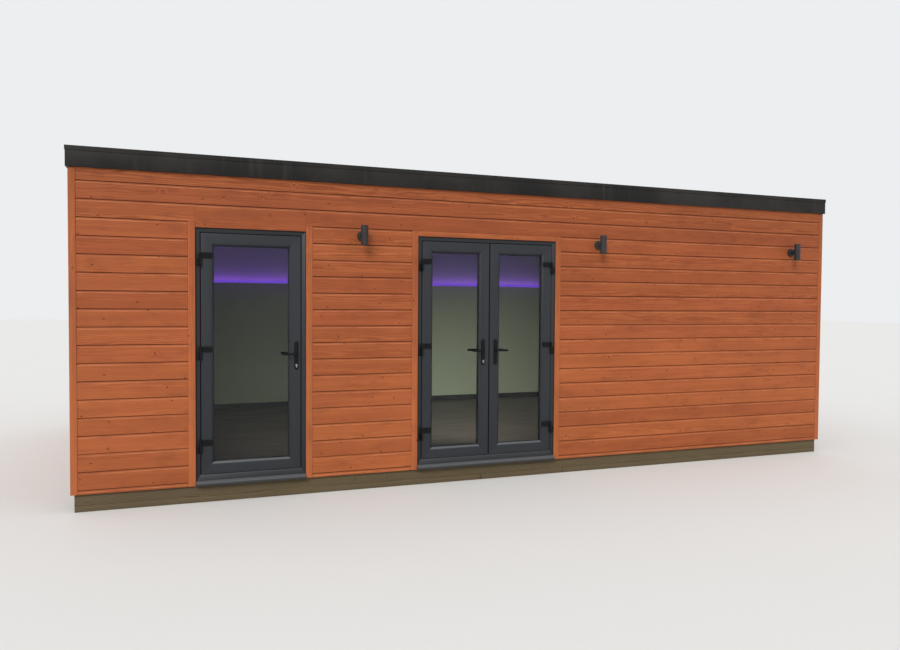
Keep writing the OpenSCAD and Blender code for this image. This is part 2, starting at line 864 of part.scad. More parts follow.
module single_door_fittings() {
    color(hardware_black) fittings(single_pin_x, single_spindle_x, true);
}

module single_door_lever() {
    color(hardware_black) lever_pair(single_spindle_x);
}

module left_door_leaf() {
    leaf(left_leaf_x, left_leaf_w, left_spindle_x);
}

module left_door_glass() {
    leaf_glass(left_leaf_x, left_leaf_w);
}

module left_door_fittings() {
    color(hardware_black) fittings(left_pin_x, left_spindle_x, true);
}

module left_door_lever() {
    color(hardware_black) lever_pair(left_spindle_x);
}

module right_door_leaf() {
    leaf(right_leaf_x, right_leaf_w, right_spindle_x);
}

module right_door_glass() {
    leaf_glass(right_leaf_x, right_leaf_w);
}

module right_door_fittings() {
    color(hardware_black) mirror([1, 0, 0]) fittings(-right_pin_x, -right_spindle_x, false);
}

module right_door_lever() {
    color(hardware_black) mirror([1, 0, 0]) lever_pair(-right_spindle_x);
}

// A round bar with bevelled rims
module bevelled_bar(r, h, bevel) {
    rotate_extrude($fn = arc_fn) polygon([
        [0, 0], [r - bevel, 0], [r, bevel], [r, h - bevel], [r - bevel, h], [0, h]
    ]);
}

// An up and down lamp: a cylinder held off the wall by an arm on a round plate
module wall_lamp() {
    difference() {
        union() {
            rotate([90, 0, 0]) bevelled_bar(lamp_plate_r, lamp_plate_t, lamp_bevel);
            slab(-lamp_arm_w / 2, lamp_arm_w / 2, -lamp_off, 0, -lamp_arm_h / 2, lamp_arm_h / 2);
            translate([0, -lamp_off, -lamp_h / 2]) bevelled_bar(lamp_r, lamp_h, lamp_bevel);
        }
        for (z = [-lamp_h / 2 - cut, lamp_h / 2 - lamp_recess])
            translate([0, -lamp_off, z])
                cylinder(r = lamp_r - lamp_wall, h = lamp_recess + cut, $fn = arc_fn);
    }
}

module wall_lamps() {
    color(hardware_black)
    for (x = lamp_xs)
        translate([x, front_y, clad_z + lamp_z]) wall_lamp();
}

// The lower half of a disc, in Y and Z
module half_disc(r) {
    intersection() {
        circle(r, $fn = gutter_fn);
        translate([-r, -r]) square([2 * r, r]);
    }
}

// A gutter section carried along X
module gutter_run(x0, x1) {
    translate([x0, gutter_y, gutter_rim]) rotate([90, 0, 90]) linear_extrude(x1 - x0) children();
}

module gutter() {
    inner = gutter_r - gutter_t;
    run = gutter_right - gutter_left - 2 * bracket_inset - bracket_w;
    color(roof_black)
    difference() {
        union() {
            gutter_run(gutter_left, gutter_right) {
                half_disc(gutter_r);
                translate([gutter_r, -gutter_bead_r]) circle(gutter_bead_r, $fn = arc_fn);
            }
            for (i = [0 : bracket_count - 1]) {
                x = gutter_left + bracket_inset + i * run / (bracket_count - 1);
                gutter_run(x, x + bracket_w) half_disc(gutter_r + bracket_t);
            }
            translate([downpipe_x, gutter_y, outlet_z])
                cylinder(r = pipe_r, h = gutter_rim - outlet_z - gutter_r / 2, $fn = arc_fn);
        }
        gutter_run(gutter_left + gutter_t, gutter_right - gutter_t)
            translate([0, cut]) half_disc(inner + cut);
        translate([downpipe_x, gutter_y, outlet_z - cut])
            cylinder(r = pipe_r - pipe_t, h = gutter_rim - outlet_z, $fn = arc_fn);
        slab(gutter_left - cut, gutter_right + cut, rear_y, rear_y + fascia_t,
            gutter_rim - 2 * gutter_r, gutter_rim + cut);
    }
}

// A straight length of pipe with a shoe at its foot that turns the water out
module pipe_shape(r, grow) {
    bend = shoe_z + shoe_rise;
    translate([downpipe_x, gutter_y, bend]) {
        cylinder(r = r, h = outlet_z - bend + grow, $fn = arc_fn);
        sphere(r = r, $fn = arc_fn);
        rotate([-shoe_angle, 0, 0]) cylinder(r = r, h = shoe_l + grow, $fn = arc_fn);
    }
}

module downpipe() {
    clips = [shoe_z + clip_inset, (shoe_z + outlet_z) / 2, outlet_z - clip_inset];
    color(roof_black)
    difference() {
        union() {
            pipe_shape(pipe_r, 0);
            for (z = [shoe_z + shoe_rise, outlet_z - socket_h])
                translate([downpipe_x, gutter_y, z])
                    cylinder(r = pipe_r + socket_t, h = socket_h, $fn = arc_fn);
            for (z = clips) {
                translate([downpipe_x, gutter_y, z])
                    cylinder(r = pipe_r + socket_t, h = clip_h, $fn = arc_fn);
                slab(downpipe_x - clip_w / 2, downpipe_x + clip_w / 2, rear_y, gutter_y,
                    z, z + clip_h);
            }
        }
        pipe_shape(pipe_r - pipe_t, cut);
    }
}

base_bearers();
floor_joists();
floor_deck();
front_wall_left();
front_wall_middle();
front_wall_right();
front_wall_header();
rear_wall();
left_wall();
right_wall();
ceiling();
roof_joists();
roof_deck();
roof_membrane();
front_fascia();
side_fascias();
rear_fascia();
front_cladding_head();
front_cladding_left();
front_cladding_middle();
front_cladding_right();
left_cladding();
right_cladding();
rear_cladding();
corner_trims();
door_trims();
single_door_frame();
double_door_frame();
door_sills();
hinge_bases();
single_door_leaf();
single_door_glass();
single_door_fittings();
single_door_lever();
left_door_leaf();
left_door_glass();
left_door_fittings();
left_door_lever();
right_door_leaf();
right_door_glass();
right_door_fittings();
right_door_lever();
wall_lamps();
gutter();
downpipe();
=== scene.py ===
"""Dresses the garden office pod: boards, door sets, ironwork, lamps, roof, rainwater goods and finishes."""

import json
import math

import bpy
import numpy as np
from bpy.props import FloatProperty, FloatVectorProperty, IntProperty, PointerProperty
from bpy.types import Operator, Panel, PropertyGroup
from mathutils import Matrix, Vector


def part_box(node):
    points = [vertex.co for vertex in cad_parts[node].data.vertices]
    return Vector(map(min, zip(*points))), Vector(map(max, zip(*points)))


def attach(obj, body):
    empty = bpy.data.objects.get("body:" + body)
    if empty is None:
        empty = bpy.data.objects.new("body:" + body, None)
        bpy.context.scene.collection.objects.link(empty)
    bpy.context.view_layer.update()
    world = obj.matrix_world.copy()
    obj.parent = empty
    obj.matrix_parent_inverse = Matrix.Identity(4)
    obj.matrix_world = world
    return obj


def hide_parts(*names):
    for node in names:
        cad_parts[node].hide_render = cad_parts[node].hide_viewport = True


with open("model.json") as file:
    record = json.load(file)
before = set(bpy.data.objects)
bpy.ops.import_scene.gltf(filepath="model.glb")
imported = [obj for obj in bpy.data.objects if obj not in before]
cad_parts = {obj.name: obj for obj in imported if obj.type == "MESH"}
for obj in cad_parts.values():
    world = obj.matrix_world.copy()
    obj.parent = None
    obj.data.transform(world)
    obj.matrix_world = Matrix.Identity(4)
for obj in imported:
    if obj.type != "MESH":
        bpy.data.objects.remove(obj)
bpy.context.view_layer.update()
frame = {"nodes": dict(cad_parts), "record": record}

bl_info = {
    "name": "Garden office pod",
    "version": (1, 0, 0),
    "blender": (4, 5, 0),
    "location": "View3D > Sidebar > Garden pod",
    "description": "Boards, door sets, ironwork, lamps and finishes of a timber garden office",
    "category": "Object",
}

# Edges that bend more than this stay sharp under smooth shading
CREASE = math.radians(38)
# Gap at the end of a board or other length, so that neighbours don't share a face
FIT = 0.0005


def paint(red, green, blue):
    """A colour as a paint chart gives it, 0 to 255, turned into light: ((c / 255 + 0.055) / 1.055) ^ 2.4."""
    return tuple(((c / 255 + 0.055) / 1.055) ** 2.4 for c in (red, green, blue))


def colour(name, description, chart):
    """A colour setting with its default from a paint chart."""
    return FloatVectorProperty(name=name, description=description, default=paint(*chart), subtype="COLOR",
                               size=3, min=0.0, max=1.0)


def size(name, description, default):
    """A length setting in metres."""
    return FloatProperty(name=name, description=description, default=default, min=0.0, unit="LENGTH",
                         subtype="DISTANCE", precision=4)


def share(name, description, default):
    """A setting from 0 to 1."""
    return FloatProperty(name=name, description=description, default=default, min=0.0, max=1.0,
                         subtype="FACTOR")


def strength(name, description, default):
    """A setting for how bright a lamp or a glowing strip is."""
    return FloatProperty(name=name, description=description, default=default, min=0.0)


def angle(name, description, degrees):
    """An angle setting, with its default in degrees."""
    return FloatProperty(name=name, description=description, default=math.radians(degrees), subtype="ANGLE")


def number(name, description, default):
    """A setting that counts pieces."""
    return IntProperty(name=name, description=description, default=default, min=2)


def corners(node):
    """The lowest and highest corner of a CAD node as arrays."""
    return tuple(np.array(corner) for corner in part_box(node))


# Shapes

class Shape:
    """Points, faces, grain coordinates and tones that become one mesh."""

    def __init__(self):
        self.points = []
        self.faces = []
        self.grain = []
        self.tone = []
        self.seam = []
        self.count = 0

    def put(self, points, faces, grain=None, tone=0.5, seam=0.0):
        """Adds points with their faces; grain defaults to the points themselves."""
        points = np.asarray(points, float).reshape(-1, 3)
        self.points.append(points)
        self.faces += [face + self.count for face in faces]
        self.grain.append(points if grain is None else np.asarray(grain, float).reshape(-1, 3))
        self.tone.append(np.full(len(points), tone))
        self.seam.append(np.broadcast_to(seam, points[:, 0].shape))
        self.count += len(points)

    def rings(self, points, loop=False, grain=None, tone=0.5, seam=0.0):
        """Skins a grid of rings, each a closed line of points.

        Point (i, j) joins (i, j + 1), (i + 1, j + 1) and (i + 1, j). The first and last rings get a flat
        cap unless the grid is a loop. Faces turn over where the skin's signed volume is negative.
        """
        count, sides = points.shape[:2]
        i = np.arange(count if loop else count - 1)[:, None]
        j = np.arange(sides)[None, :]
        across = (j + 1) % sides
        after = (i + 1) % count
        square = [i * sides + j, i * sides + across, after * sides + across, after * sides + j]
        faces = [np.stack(square, -1).reshape(-1, 4)]
        if not loop:
            ends = np.arange(sides)[None]
            faces += [ends[:, ::-1], ends + (count - 1) * sides]
        if signed_volume(points.reshape(-1, 3), faces) < 0:
            faces = [face[:, ::-1] for face in faces]
        self.put(points, faces, grain, tone, np.broadcast_to(seam, (count, sides)).ravel())

    def copies(self, other, places):
        """Repeats another shape: point = other's point + place, for each place."""
        places = np.asarray(places, float).reshape(-1, 1, 3)
        points = np.concatenate(other.points)[None] + places
        step = np.arange(len(places))[:, None, None] * other.count
        self.put(points, [(face[None] + step).reshape(-1, face.shape[1]) for face in other.faces])

    def include(self, other, middle):
        """Adds another shape, or its mirror image if there is a middle: x = 2 middle - x, faces turned."""
        points = np.concatenate(other.points)
        faces = other.faces
        if middle is not None:
            points = points * [-1.0, 1.0, 1.0] + [2 * middle, 0.0, 0.0]
            faces = [face[:, ::-1] for face in faces]
        self.put(points, faces, np.concatenate(other.grain))

    def piece(self, name, material, slot, nodes=(), body="building"):
        """Makes the mesh, rides it on its body and lets it stand for its CAD nodes."""
        points = np.concatenate(self.points)
        loops = np.concatenate([face.ravel() for face in self.faces])
        totals = np.concatenate([np.full(len(face), face.shape[1]) for face in self.faces])
        mesh = bpy.data.meshes.new(name)
        mesh.vertices.add(len(points))
        mesh.vertices.foreach_set("co", points.astype(np.float32).ravel())
        mesh.loops.add(len(loops))
        mesh.loops.foreach_set("vertex_index", loops.astype(np.int32))
        mesh.polygons.add(len(totals))
        mesh.polygons.foreach_set("loop_start", (np.cumsum(totals) - totals).astype(np.int32))
        mesh.polygons.foreach_set("loop_total", totals.astype(np.int32))
        mesh.update(calc_edges=True)
        grain = mesh.attributes.new("grain", "FLOAT_VECTOR", "POINT")
        grain.data.foreach_set("vector", np.concatenate(self.grain).astype(np.float32).ravel())
        # The seam value carries painted shade in the laps, and a painted highlight where it is below 0
        for label, values in (("tone", self.tone), ("seam", self.seam)):
            layer = mesh.attributes.new(label, "FLOAT", "POINT")
            layer.data.foreach_set("value", np.concatenate(values).astype(np.float32))
        mesh.shade_smooth()
        mesh.set_sharp_from_angle(angle=CREASE)
        mesh.materials.append(material)
        made = bpy.data.objects.new(name, mesh)
        bpy.context.scene.collection.objects.link(made)
        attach(made, body)
        if nodes:
            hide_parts(*nodes)


def signed_volume(points, faces):
    """A sixth of the sum of a . (b x c) over the triangles that fan out over each face."""
    points = points - points.mean(0)
    total = 0.0
    for face in faces:
        first = points[face[:, 0]]
        for step in range(1, face.shape[1] - 1):
            crossed = np.cross(points[face[:, step]], points[face[:, step + 1]])
            total += np.einsum("ij,ij->", first, crossed)
    return total / 6


def inset(outline, distance):
    """Draws a closed outline in: each corner moves along both edges' inward normals, so both edges move."""
    before = outline - np.roll(outline, 1, 0)
    after = np.roll(before, -1, 0)
    area = np.sum(outline[:, 0] * np.roll(outline[:, 1], -1) - np.roll(outline[:, 0], -1) * outline[:, 1])
    first, second = (math.copysign(1.0, area) * np.stack([-edge[:, 1], edge[:, 0]], 1)
                     / np.linalg.norm(edge, axis=1, keepdims=True) for edge in (before, after))
    return outline + distance * (first + second) / (1 + np.sum(first * second, 1, keepdims=True))


def arc(centre, radius, start, stop, steps):
    """Points on a circle: centre + radius (cos a, sin a), with a from start to stop in degrees."""
    a = np.radians(np.linspace(start, stop, steps))
    return np.stack([centre[0] + radius * np.cos(a), centre[1] + radius * np.sin(a)], 1)


def rounded(a0, a1, b0, b1, radius):
    """A rectangle's outline, anticlockwise, with a quarter circle at each corner."""
    places = ((a1 - radius, b0 + radius), (a1 - radius, b1 - radius),
              (a0 + radius, b1 - radius), (a0 + radius, b0 + radius))
    return np.concatenate([arc(place, radius, 90 * k - 90, 90 * k, 3) for k, place in enumerate(places)])


def slab(shape, axis, a, b, start, stop, round_off, ease=0.001):
    """A bar along an axis with rounded edges: a and b are its ranges on the other two axes."""
    carry(shape, axis, rounded(*a, *b, round_off), start, stop, ease)


def about(middle, half):
    """The range that lies evenly about a middle."""
    return middle - half, middle + half


def carry(shape, axis, outline, start, stop, ease=0.0, grain=None, tone=0.5, seam=0.0):
    """Carries a closed outline along one axis: its two numbers are the places on the other two axes.

    With an ease, the end rings are drawn in by it, so the ends' arrises are taken off. The grain runs
    along the axis: (s + g0, wide + g1 + g3 s, thick + g2), with wide the outline's longer direction.
    """
    stations = [(start, 0.0), (stop, 0.0)]
    if ease:
        stations = [(start, ease), (start + ease, 0.0), (stop - ease, 0.0), (stop, ease)]
    points = np.array([np.insert(inset(outline, e) if e else outline, axis, s, axis=1) for s, e in stations])
    g = np.zeros(4) if grain is None else grain
    middle = (outline.max(0) + outline.min(0)) / 2
    wide = int(np.argmax(np.ptp(outline, axis=0)))
    others = np.delete(points, axis, axis=2) - middle
    s = points[..., axis]
    figure = np.stack([s + g[0], others[..., wide] + g[1] + g[3] * s, others[..., 1 - wide] + g[2]], -1)
    shape.rings(points, grain=figure, tone=tone, seam=seam)


def raised(shape, outline, face, out, stations):
    """Builds an outline up off a face: a station says how far out a ring lies and how far it is drawn in."""
    shape.rings(np.array([np.insert(inset(outline, drawn), 1, face + out * off, axis=1)
                          for off, drawn in stations]))


def lathe(shape, outline, centre, axis, steps=32):
    """Turns an outline of (radius, distance) round an axis: centre + axis z + r (cos t u + sin t v)."""
    outline = np.asarray(outline, float)
    axis = np.asarray(axis, float)
    u = np.cross(axis, [0.0, 0.0, 1.0] if abs(axis[2]) < 0.9 else [1.0, 0.0, 0.0])
    u = u / np.linalg.norm(u)
    t = np.arange(steps) * 2 * np.pi / steps
    around = np.cos(t)[:, None] * u + np.sin(t)[:, None] * np.cross(axis, u)
    points = np.asarray(centre, float) + outline[:, 1, None, None] * axis + outline[:, 0, None, None] * around
    shape.rings(points)


def sweep(shape, path, along, up, wide, tall, outline):
    """Carries an outline along a bent line in a plane: path + wide a (up x t) + tall b up.

    (a, b) runs round the outline, t is the line's direction, and up is square to the plane. Wide and
    tall give the outline's size at each point.
    """
    t = along / np.linalg.norm(along, axis=1, keepdims=True)
    up = np.asarray(up, float)
    sideways = np.cross(up, t)[:, None] * (wide[:, None] * outline[:, 0])[..., None]
    shape.rings(path[:, None] + sideways + up * (tall[:, None] * outline[:, 1])[..., None])


def mitred(shape, node, outline, bottom=0.0):
    """A frame with mitred corners round a CAD node's box: corner + w inwards, d behind the front.

    (w, d) runs round the outline. Widths past 10 mm grow by bottom on the bottom side. Each mitre has
    a fine groove: three rings, the middle one drawn in by a third of its width.
    """
    low, high = corners(node)
    fine = 0.0012
    drawn = inset(outline, fine / 3)
    places = np.array([[low[0], low[2]], [high[0], low[2]], [high[0], high[2]], [low[0], high[2]]])
    inwards = np.array([[1, 1], [-1, 1], [-1, -1], [1, -1]])
    travel = np.array([[1, 0], [0, 1], [-1, 0], [0, -1]])
    points = []
    grain = []
    for i in range(4):
        flat = abs(travel[i - 1][0]) == 1
        for step, line, level in ((-fine * travel[i - 1], outline, flat), (0 * travel[i], drawn, flat),
                                  (fine * travel[i], outline, not flat)):
            grown = line[:, 0] + (bottom * (line[:, 0] > 0.01) if inwards[i][1] > 0 else 0.0)
            px = places[i][0] + inwards[i][0] * line[:, 0] + step[0]
            pz = places[i][1] + inwards[i][1] * grown + step[1]
            points.append(np.stack([px, low[1] + line[:, 1], pz], 1))
            grain.append(np.stack([px, pz, line[:, 1]] if level else [pz, px, line[:, 1]], 1))
    shape.rings(np.array(points), loop=True, grain=np.array(grain))


def dome(axis, radius, height, steps=8):
    """A nail or screw head: a flat dome turned round its axis."""
    made = Shape()
    lathe(made, [(radius, -height), (radius, 0.2 * height), (0.72 * radius, 0.8 * height),
                 (0.3 * radius, height)], (0, 0, 0), axis, steps)
    return made


# Node helpers

def add(tree, kind, inputs=None, **options):
    """A node with its options, and its inputs set to a value or linked to another node's socket."""
    made = tree.nodes.new(kind)
    for name, value in options.items():
        setattr(made, name, value)
    for name, value in (inputs or {}).items():
        join(tree, made.inputs[name], value)
    return made


def join(tree, socket, value):
    """Links a socket, or sets its value; a colour of three numbers gets an alpha of one."""
    if isinstance(value, bpy.types.NodeSocket):
        tree.links.new(value, socket)
    elif socket.type == "RGBA" and len(value) == 3:
        socket.default_value = (*value, 1.0)
    else:
        socket.default_value = value


def maths(tree, way, *values):
    """A sum, product or other piece of arithmetic on numbers."""
    return add(tree, "ShaderNodeMath", dict(enumerate(values)), operation=way).outputs[0]


def times(tree, first, second):
    """Two numbers multiplied."""
    return maths(tree, "MULTIPLY", first, second)


def remap(tree, value, low, high, first=0.0, last=1.0):
    """A smooth step from one pair of levels to another."""
    return add(tree, "ShaderNodeMapRange", {0: value, 1: low, 2: high, 3: first, 4: last},
               interpolation_type="SMOOTHSTEP").outputs[0]


def tint(tree, mask, first, second):
    """Two colours mixed by a mask."""
    return add(tree, "ShaderNodeMix", {0: mask, 6: first, 7: second}, data_type="RGBA").outputs[2]


def coats(tree, base, *layers):
    """Lays colours over a base in turn. Each layer is a mask, the mask's greatest share, and a colour."""
    for mask, most, over in layers:
        base = tint(tree, times(tree, mask, most), base, over)
    return base


def stretch(tree, vector, scale):
    """A vector stretched along each axis."""
    return add(tree, "ShaderNodeMapping", {"Vector": vector, "Scale": scale}).outputs[0]


def shift(tree, vector, **places):
    """A vector moved by the numbers given for x, y and z."""
    moved = add(tree, "ShaderNodeCombineXYZ", {axis.upper(): value for axis, value in places.items()})
    return add(tree, "ShaderNodeVectorMath", {0: vector, 1: moved.outputs[0]}).outputs[0]


def noise(tree, vector, scale, detail, roughness=0.5):
    """Smooth noise from 0 to 1."""
    return add(tree, "ShaderNodeTexNoise", {"Vector": vector, "Scale": scale, "Detail": detail,
                                            "Roughness": roughness}).outputs["Fac"]


def red_of(tree, pattern):
    """The red of a cell or brick pattern's colour, which is a random number for each cell."""
    return add(tree, "ShaderNodeSeparateColor", {0: pattern.outputs["Color"]}).outputs[0]


def height_of(tree, vector):
    """The Z of a vector."""
    return add(tree, "ShaderNodeSeparateXYZ", {0: vector}).outputs["Z"]


def attribute(tree, name, output="Fac"):
    """A value that the mesh carries."""
    return add(tree, "ShaderNodeAttribute", attribute_name=name).outputs[output]


def place_of(tree):
    """Object coordinates."""
    return add(tree, "ShaderNodeTexCoord").outputs["Object"]


def surface(tree, shader, base, rough, height=None, relief=0.0, depth=0.0):
    """Gives the shader its colour and roughness, and a relief from a height that is depth metres deep."""
    join(tree, shader.inputs["Base Color"], base)
    join(tree, shader.inputs["Roughness"], rough)
    if height is not None:
        bump = add(tree, "ShaderNodeBump", {"Height": height, "Strength": relief, "Distance": depth})
        join(tree, shader.inputs["Normal"], bump.outputs[0])


# Shared groups

def new_group(name, inputs, outputs):
    """A shader node group with number outputs; an input without a default is a vector."""
    tree = bpy.data.node_groups.new(name, "ShaderNodeTree")
    for label, value in inputs.items():
        kind = "NodeSocketVector" if value is None else "NodeSocketFloat"
        socket = tree.interface.new_socket(name=label, in_out="INPUT", socket_type=kind)
        if value is not None:
            socket.default_value = value
    for label in outputs:
        tree.interface.new_socket(name=label, in_out="OUTPUT", socket_type="NodeSocketFloat")
    return tree, tree.nodes.new("NodeGroupInput"), tree.nodes.new("NodeGroupOutput")


def give(tree, sink, **results):
    """Links a group's results to its output sockets."""
    for name, socket in results.items():
        join(tree, sink.inputs[name], socket)


def timber_figure(name):
    """Grain of sawn softwood in metres along, across and through a board.

    Rings circle the heart line, bent by slow noise and round the knots; fine fibres and slow streaks
    run along the board. Knots are the round spots of a cell pattern, in some of its cells only.
    """
    tree, source, sink = new_group(name, {"Grain": None, "Ring scale": 60.0, "Knots": 0.5, "Knot size": 0.05},
                                   ("Figure", "Streak", "Knot", "Height"))
    grain = source.outputs["Grain"]
    cells = add(tree, "ShaderNodeTexVoronoi", {"Scale": 5.5,
                "Vector": stretch(tree, grain, (0.72, 1.0, 0.0))}, voronoi_dimensions="2D")
    pick = red_of(tree, cells)
    chosen = maths(tree, "LESS_THAN", pick, source.outputs["Knots"])
    ragged = noise(tree, grain, 90.0, 2.0)
    reach = maths(tree, "MULTIPLY_ADD", ragged, 0.035, cells.outputs["Distance"])
    edge = maths(tree, "ADD", source.outputs["Knot size"], 0.02)
    knot = times(tree, remap(tree, reach, edge, times(tree, edge, 0.6)), chosen)
    halo = times(tree, remap(tree, reach, times(tree, edge, 3.2), 0.0), chosen)
    bend = noise(tree, stretch(tree, grain, (1.6, 9.0, 9.0)), 1.0, 3.0)
    moved = maths(tree, "ADD", times(tree, bend, 0.03), times(tree, halo, 0.012))
    bent = shift(tree, grain, y=moved, z=moved)
    rings = add(tree, "ShaderNodeTexWave", {
        "Vector": stretch(tree, bent, (0.15, 1.0, 1.0)), "Scale": source.outputs["Ring scale"],
        "Distortion": 1.6, "Detail": 2.0, "Detail Scale": 0.6},
        wave_type="RINGS", rings_direction="X").outputs["Fac"]
    fibre = noise(tree, stretch(tree, grain, (9.0, 420.0, 420.0)), 1.0, 2.0)
    streak = noise(tree, stretch(tree, grain, (1.1, 26.0, 26.0)), 1.0, 4.0, 0.6)
    figure = maths(tree, "ADD", times(tree, rings, 0.55), times(tree, fibre, 0.45))
    high = maths(tree, "SUBTRACT", figure, times(tree, knot, 0.4))
    give(tree, sink, Figure=figure, Streak=streak, Knot=knot, Height=high)
    return tree


def weathering(name):
    """Patches of dust and long runs down a face, from noise stretched along Z."""
    tree, source, sink = new_group(name, {"Place": None, "Scale": 1.0}, ("Patch", "Run"))
    place = add(tree, "ShaderNodeVectorMath", {0: source.outputs["Place"], 3: source.outputs["Scale"]},
                operation="SCALE").outputs[0]
    give(tree, sink, Patch=remap(tree, noise(tree, place, 1.7, 5.0, 0.6), 0.35, 0.72),
         Run=remap(tree, noise(tree, stretch(tree, place, (14.0, 14.0, 0.9)), 1.0, 4.0, 0.6), 0.5, 0.75))
    return tree


def fine_skin(name):
    """Fine powder or moulded skin: fine noise as a height, and a slow change of tone."""
    tree, source, sink = new_group(name, {"Place": None, "Scale": 900.0}, ("Tone", "Height"))
    place = source.outputs["Place"]
    give(tree, sink, Height=noise(tree, place, source.outputs["Scale"], 2.0),
         Tone=noise(tree, place, 6.0, 4.0))
    return tree


def foil_emboss(name):
    """The fine pressed wood grain of a profile's foil: short strokes along it, thinned out by slow noise."""
    tree, source, sink = new_group(name, {"Grain": None}, ("Stroke", "Tone"))
    grain = source.outputs["Grain"]
    strokes = noise(tree, stretch(tree, grain, (24.0, 700.0, 700.0)), 1.0, 3.0, 0.6)
    slow = noise(tree, stretch(tree, grain, (3.0, 30.0, 30.0)), 1.0, 3.0)
    pressed = times(tree, remap(tree, strokes, 0.42, 0.66), remap(tree, slow, 0.3, 0.7, 0.4, 1.0))
    give(tree, sink, Stroke=pressed, Tone=slow)
    return tree


def placed(tree, maker, **inputs):
    """The outputs of a shared group, which is made at its first use, with its inputs set."""
    name = maker.__name__.replace("_", " ").capitalize()
    made = add(tree, "ShaderNodeGroup", node_tree=bpy.data.node_groups.get(name) or maker(name))
    for label, value in inputs.items():
        join(tree, made.inputs[label.replace("_", " ")], value)
    return made.outputs


# Finishes

def finish(name, maker, *values):
    """A material by name, made at its first use by a function that fills its tree and shader."""
    made = bpy.data.materials.get(name)
    if made is None:
        made = bpy.data.materials.new(name)
        made.use_nodes = True
        maker(made.node_tree, made.node_tree.nodes["Principled BSDF"], *values)
    return made


def stained_timber(tree, shader, light, dark, red, worn, knot_colour, knots):
    """Red-brown stained softwood: grain shows through the stain, boards differ, knots are darker.

    The colour pales below 1.8 m as painted light, and darkens from 1.95 m up as painted shade under the
    roof's edge. Where the mesh's seam value is below 0, a paler stain is a painted highlight on the
    hollow's lower arris; where it is above 0, a darker colour is painted shade in the laps and under
    the lower arrises.
    """
    grain = attribute(tree, "grain", "Vector")
    tone = attribute(tree, "tone")
    seam = attribute(tree, "seam")
    place = place_of(tree)
    height = height_of(tree, place)
    wood = placed(tree, timber_figure, Grain=grain, Knots=knots, Ring_scale=46.0, Knot_size=0.042)
    brushed = noise(tree, stretch(tree, grain, (5.0, 13.0, 13.0)), 1.0, 3.0, 0.55)
    soil = placed(tree, weathering, Place=place)
    # Painted highlight: paler stain on the hollow's lower arris, where the seam value is below 0
    painted_highlight = times(tree, remap(tree, seam, -0.05, -0.7), remap(tree, brushed, 0.36, 0.6, 0.55, 0.2))
    base = coats(
        tree, tint(tree, remap(tree, wood["Figure"], 0.2, 0.85), light, dark),
        (tone, 0.75, red),
        # Painted light: paler towards the ground, below 1.8 m
        (remap(tree, height, 1.8, 0.5), 0.5, light),
        # Painted shade: darker under the roof's edge, from 1.95 m up
        (remap(tree, height, 1.95, 2.4), 0.24, knot_colour),
        (maths(tree, "FRACT", times(tree, tone, 7.31)), 0.5, dark),
        (remap(tree, brushed, 0.5, 0.74), 0.22, knot_colour),
        (remap(tree, wood["Streak"], 0.42, 0.68), 0.32, dark),
        (remap(tree, wood["Streak"], 0.5, 0.26), 0.35, light),
        (soil["Patch"], 0.16, knot_colour),
        (wood["Knot"], 0.72, knot_colour),
        (painted_highlight, 1.0, worn),
        # Painted shade in the laps and under the boards' lower arrises, where the seam value is above 0
        (seam, 0.92, knot_colour))
    surface(tree, shader, base, remap(tree, wood["Figure"], 0.1, 0.9, 0.5, 0.68), wood["Height"], 0.45,
            0.0006)
    shader.inputs["Specular IOR Level"].default_value = 0.22


def bare_timber(tree, shader, light, dark, knot_colour, knots):
    """Unpainted or pressure-treated softwood."""
    wood = placed(tree, timber_figure, Grain=attribute(tree, "grain", "Vector"), Knots=knots, Ring_scale=40.0,
                  Knot_size=0.045)
    soil = placed(tree, weathering, Place=place_of(tree), Scale=1.6)
    base = coats(tree, tint(tree, remap(tree, wood["Figure"], 0.15, 0.85), light, dark),
                 (soil["Patch"], 0.3, dark), (wood["Knot"], 0.8, knot_colour))
    surface(tree, shader, base, remap(tree, wood["Streak"], 0.3, 0.7, 0.7, 0.85), wood["Height"], 0.6, 0.0009)


def board_panel(tree, shader, light, dark):
    """Strand board: short flakes that lie every way."""
    cells = add(tree, "ShaderNodeTexVoronoi", {"Vector": stretch(tree, place_of(tree), (14.0, 60.0, 60.0)),
                                               "Scale": 1.0})
    flake = red_of(tree, cells)
    surface(tree, shader, tint(tree, flake, light, dark), remap(tree, flake, 0.0, 1.0, 0.65, 0.85),
            flake, 0.4, 0.0006)


def foiled_profile(tree, shader, base, pale, dust):
    """Woodgrain foil on a door profile: pressed strokes, a slow change of tone, and dust and painted light on
    what faces up.
    """
    foil = placed(tree, foil_emboss, Grain=attribute(tree, "grain", "Vector"))
    soil = placed(tree, weathering, Place=place_of(tree), Scale=2.2)
    up = height_of(tree, add(tree, "ShaderNodeNewGeometry").outputs["Normal"])
    shade = coats(tree, base, (foil["Tone"], 0.3, pale), (soil["Run"], 0.12, pale),
                  # Painted light from above, with some dust: paler where the face points up
                  (remap(tree, up, 0.15, 0.75), 0.62, dust))
    surface(tree, shader, shade, remap(tree, foil["Stroke"], 0.0, 1.0, 0.42, 0.55),
            maths(tree, "SUBTRACT", 1.0, foil["Stroke"]), 0.25, 0.0003)
    shader.inputs["Specular IOR Level"].default_value = 0.3


def moulded(tree, shader, base, dusty, rough, dust):
    """Moulded plastic, rubber or painted board with a fine skin and a film of dust."""
    place = place_of(tree)
    skin = placed(tree, fine_skin, Place=place, Scale=700.0)
    soil = placed(tree, weathering, Place=place)
    shade = coats(tree, base, (maths(tree, "MAXIMUM", soil["Patch"], soil["Run"]), dust, dusty))
    surface(tree, shader, shade, remap(tree, skin["Tone"], 0.3, 0.7, rough - 0.05, rough + 0.08),
            skin["Height"], 0.12, 0.0002)
    shader.inputs["Specular IOR Level"].default_value = 0.25


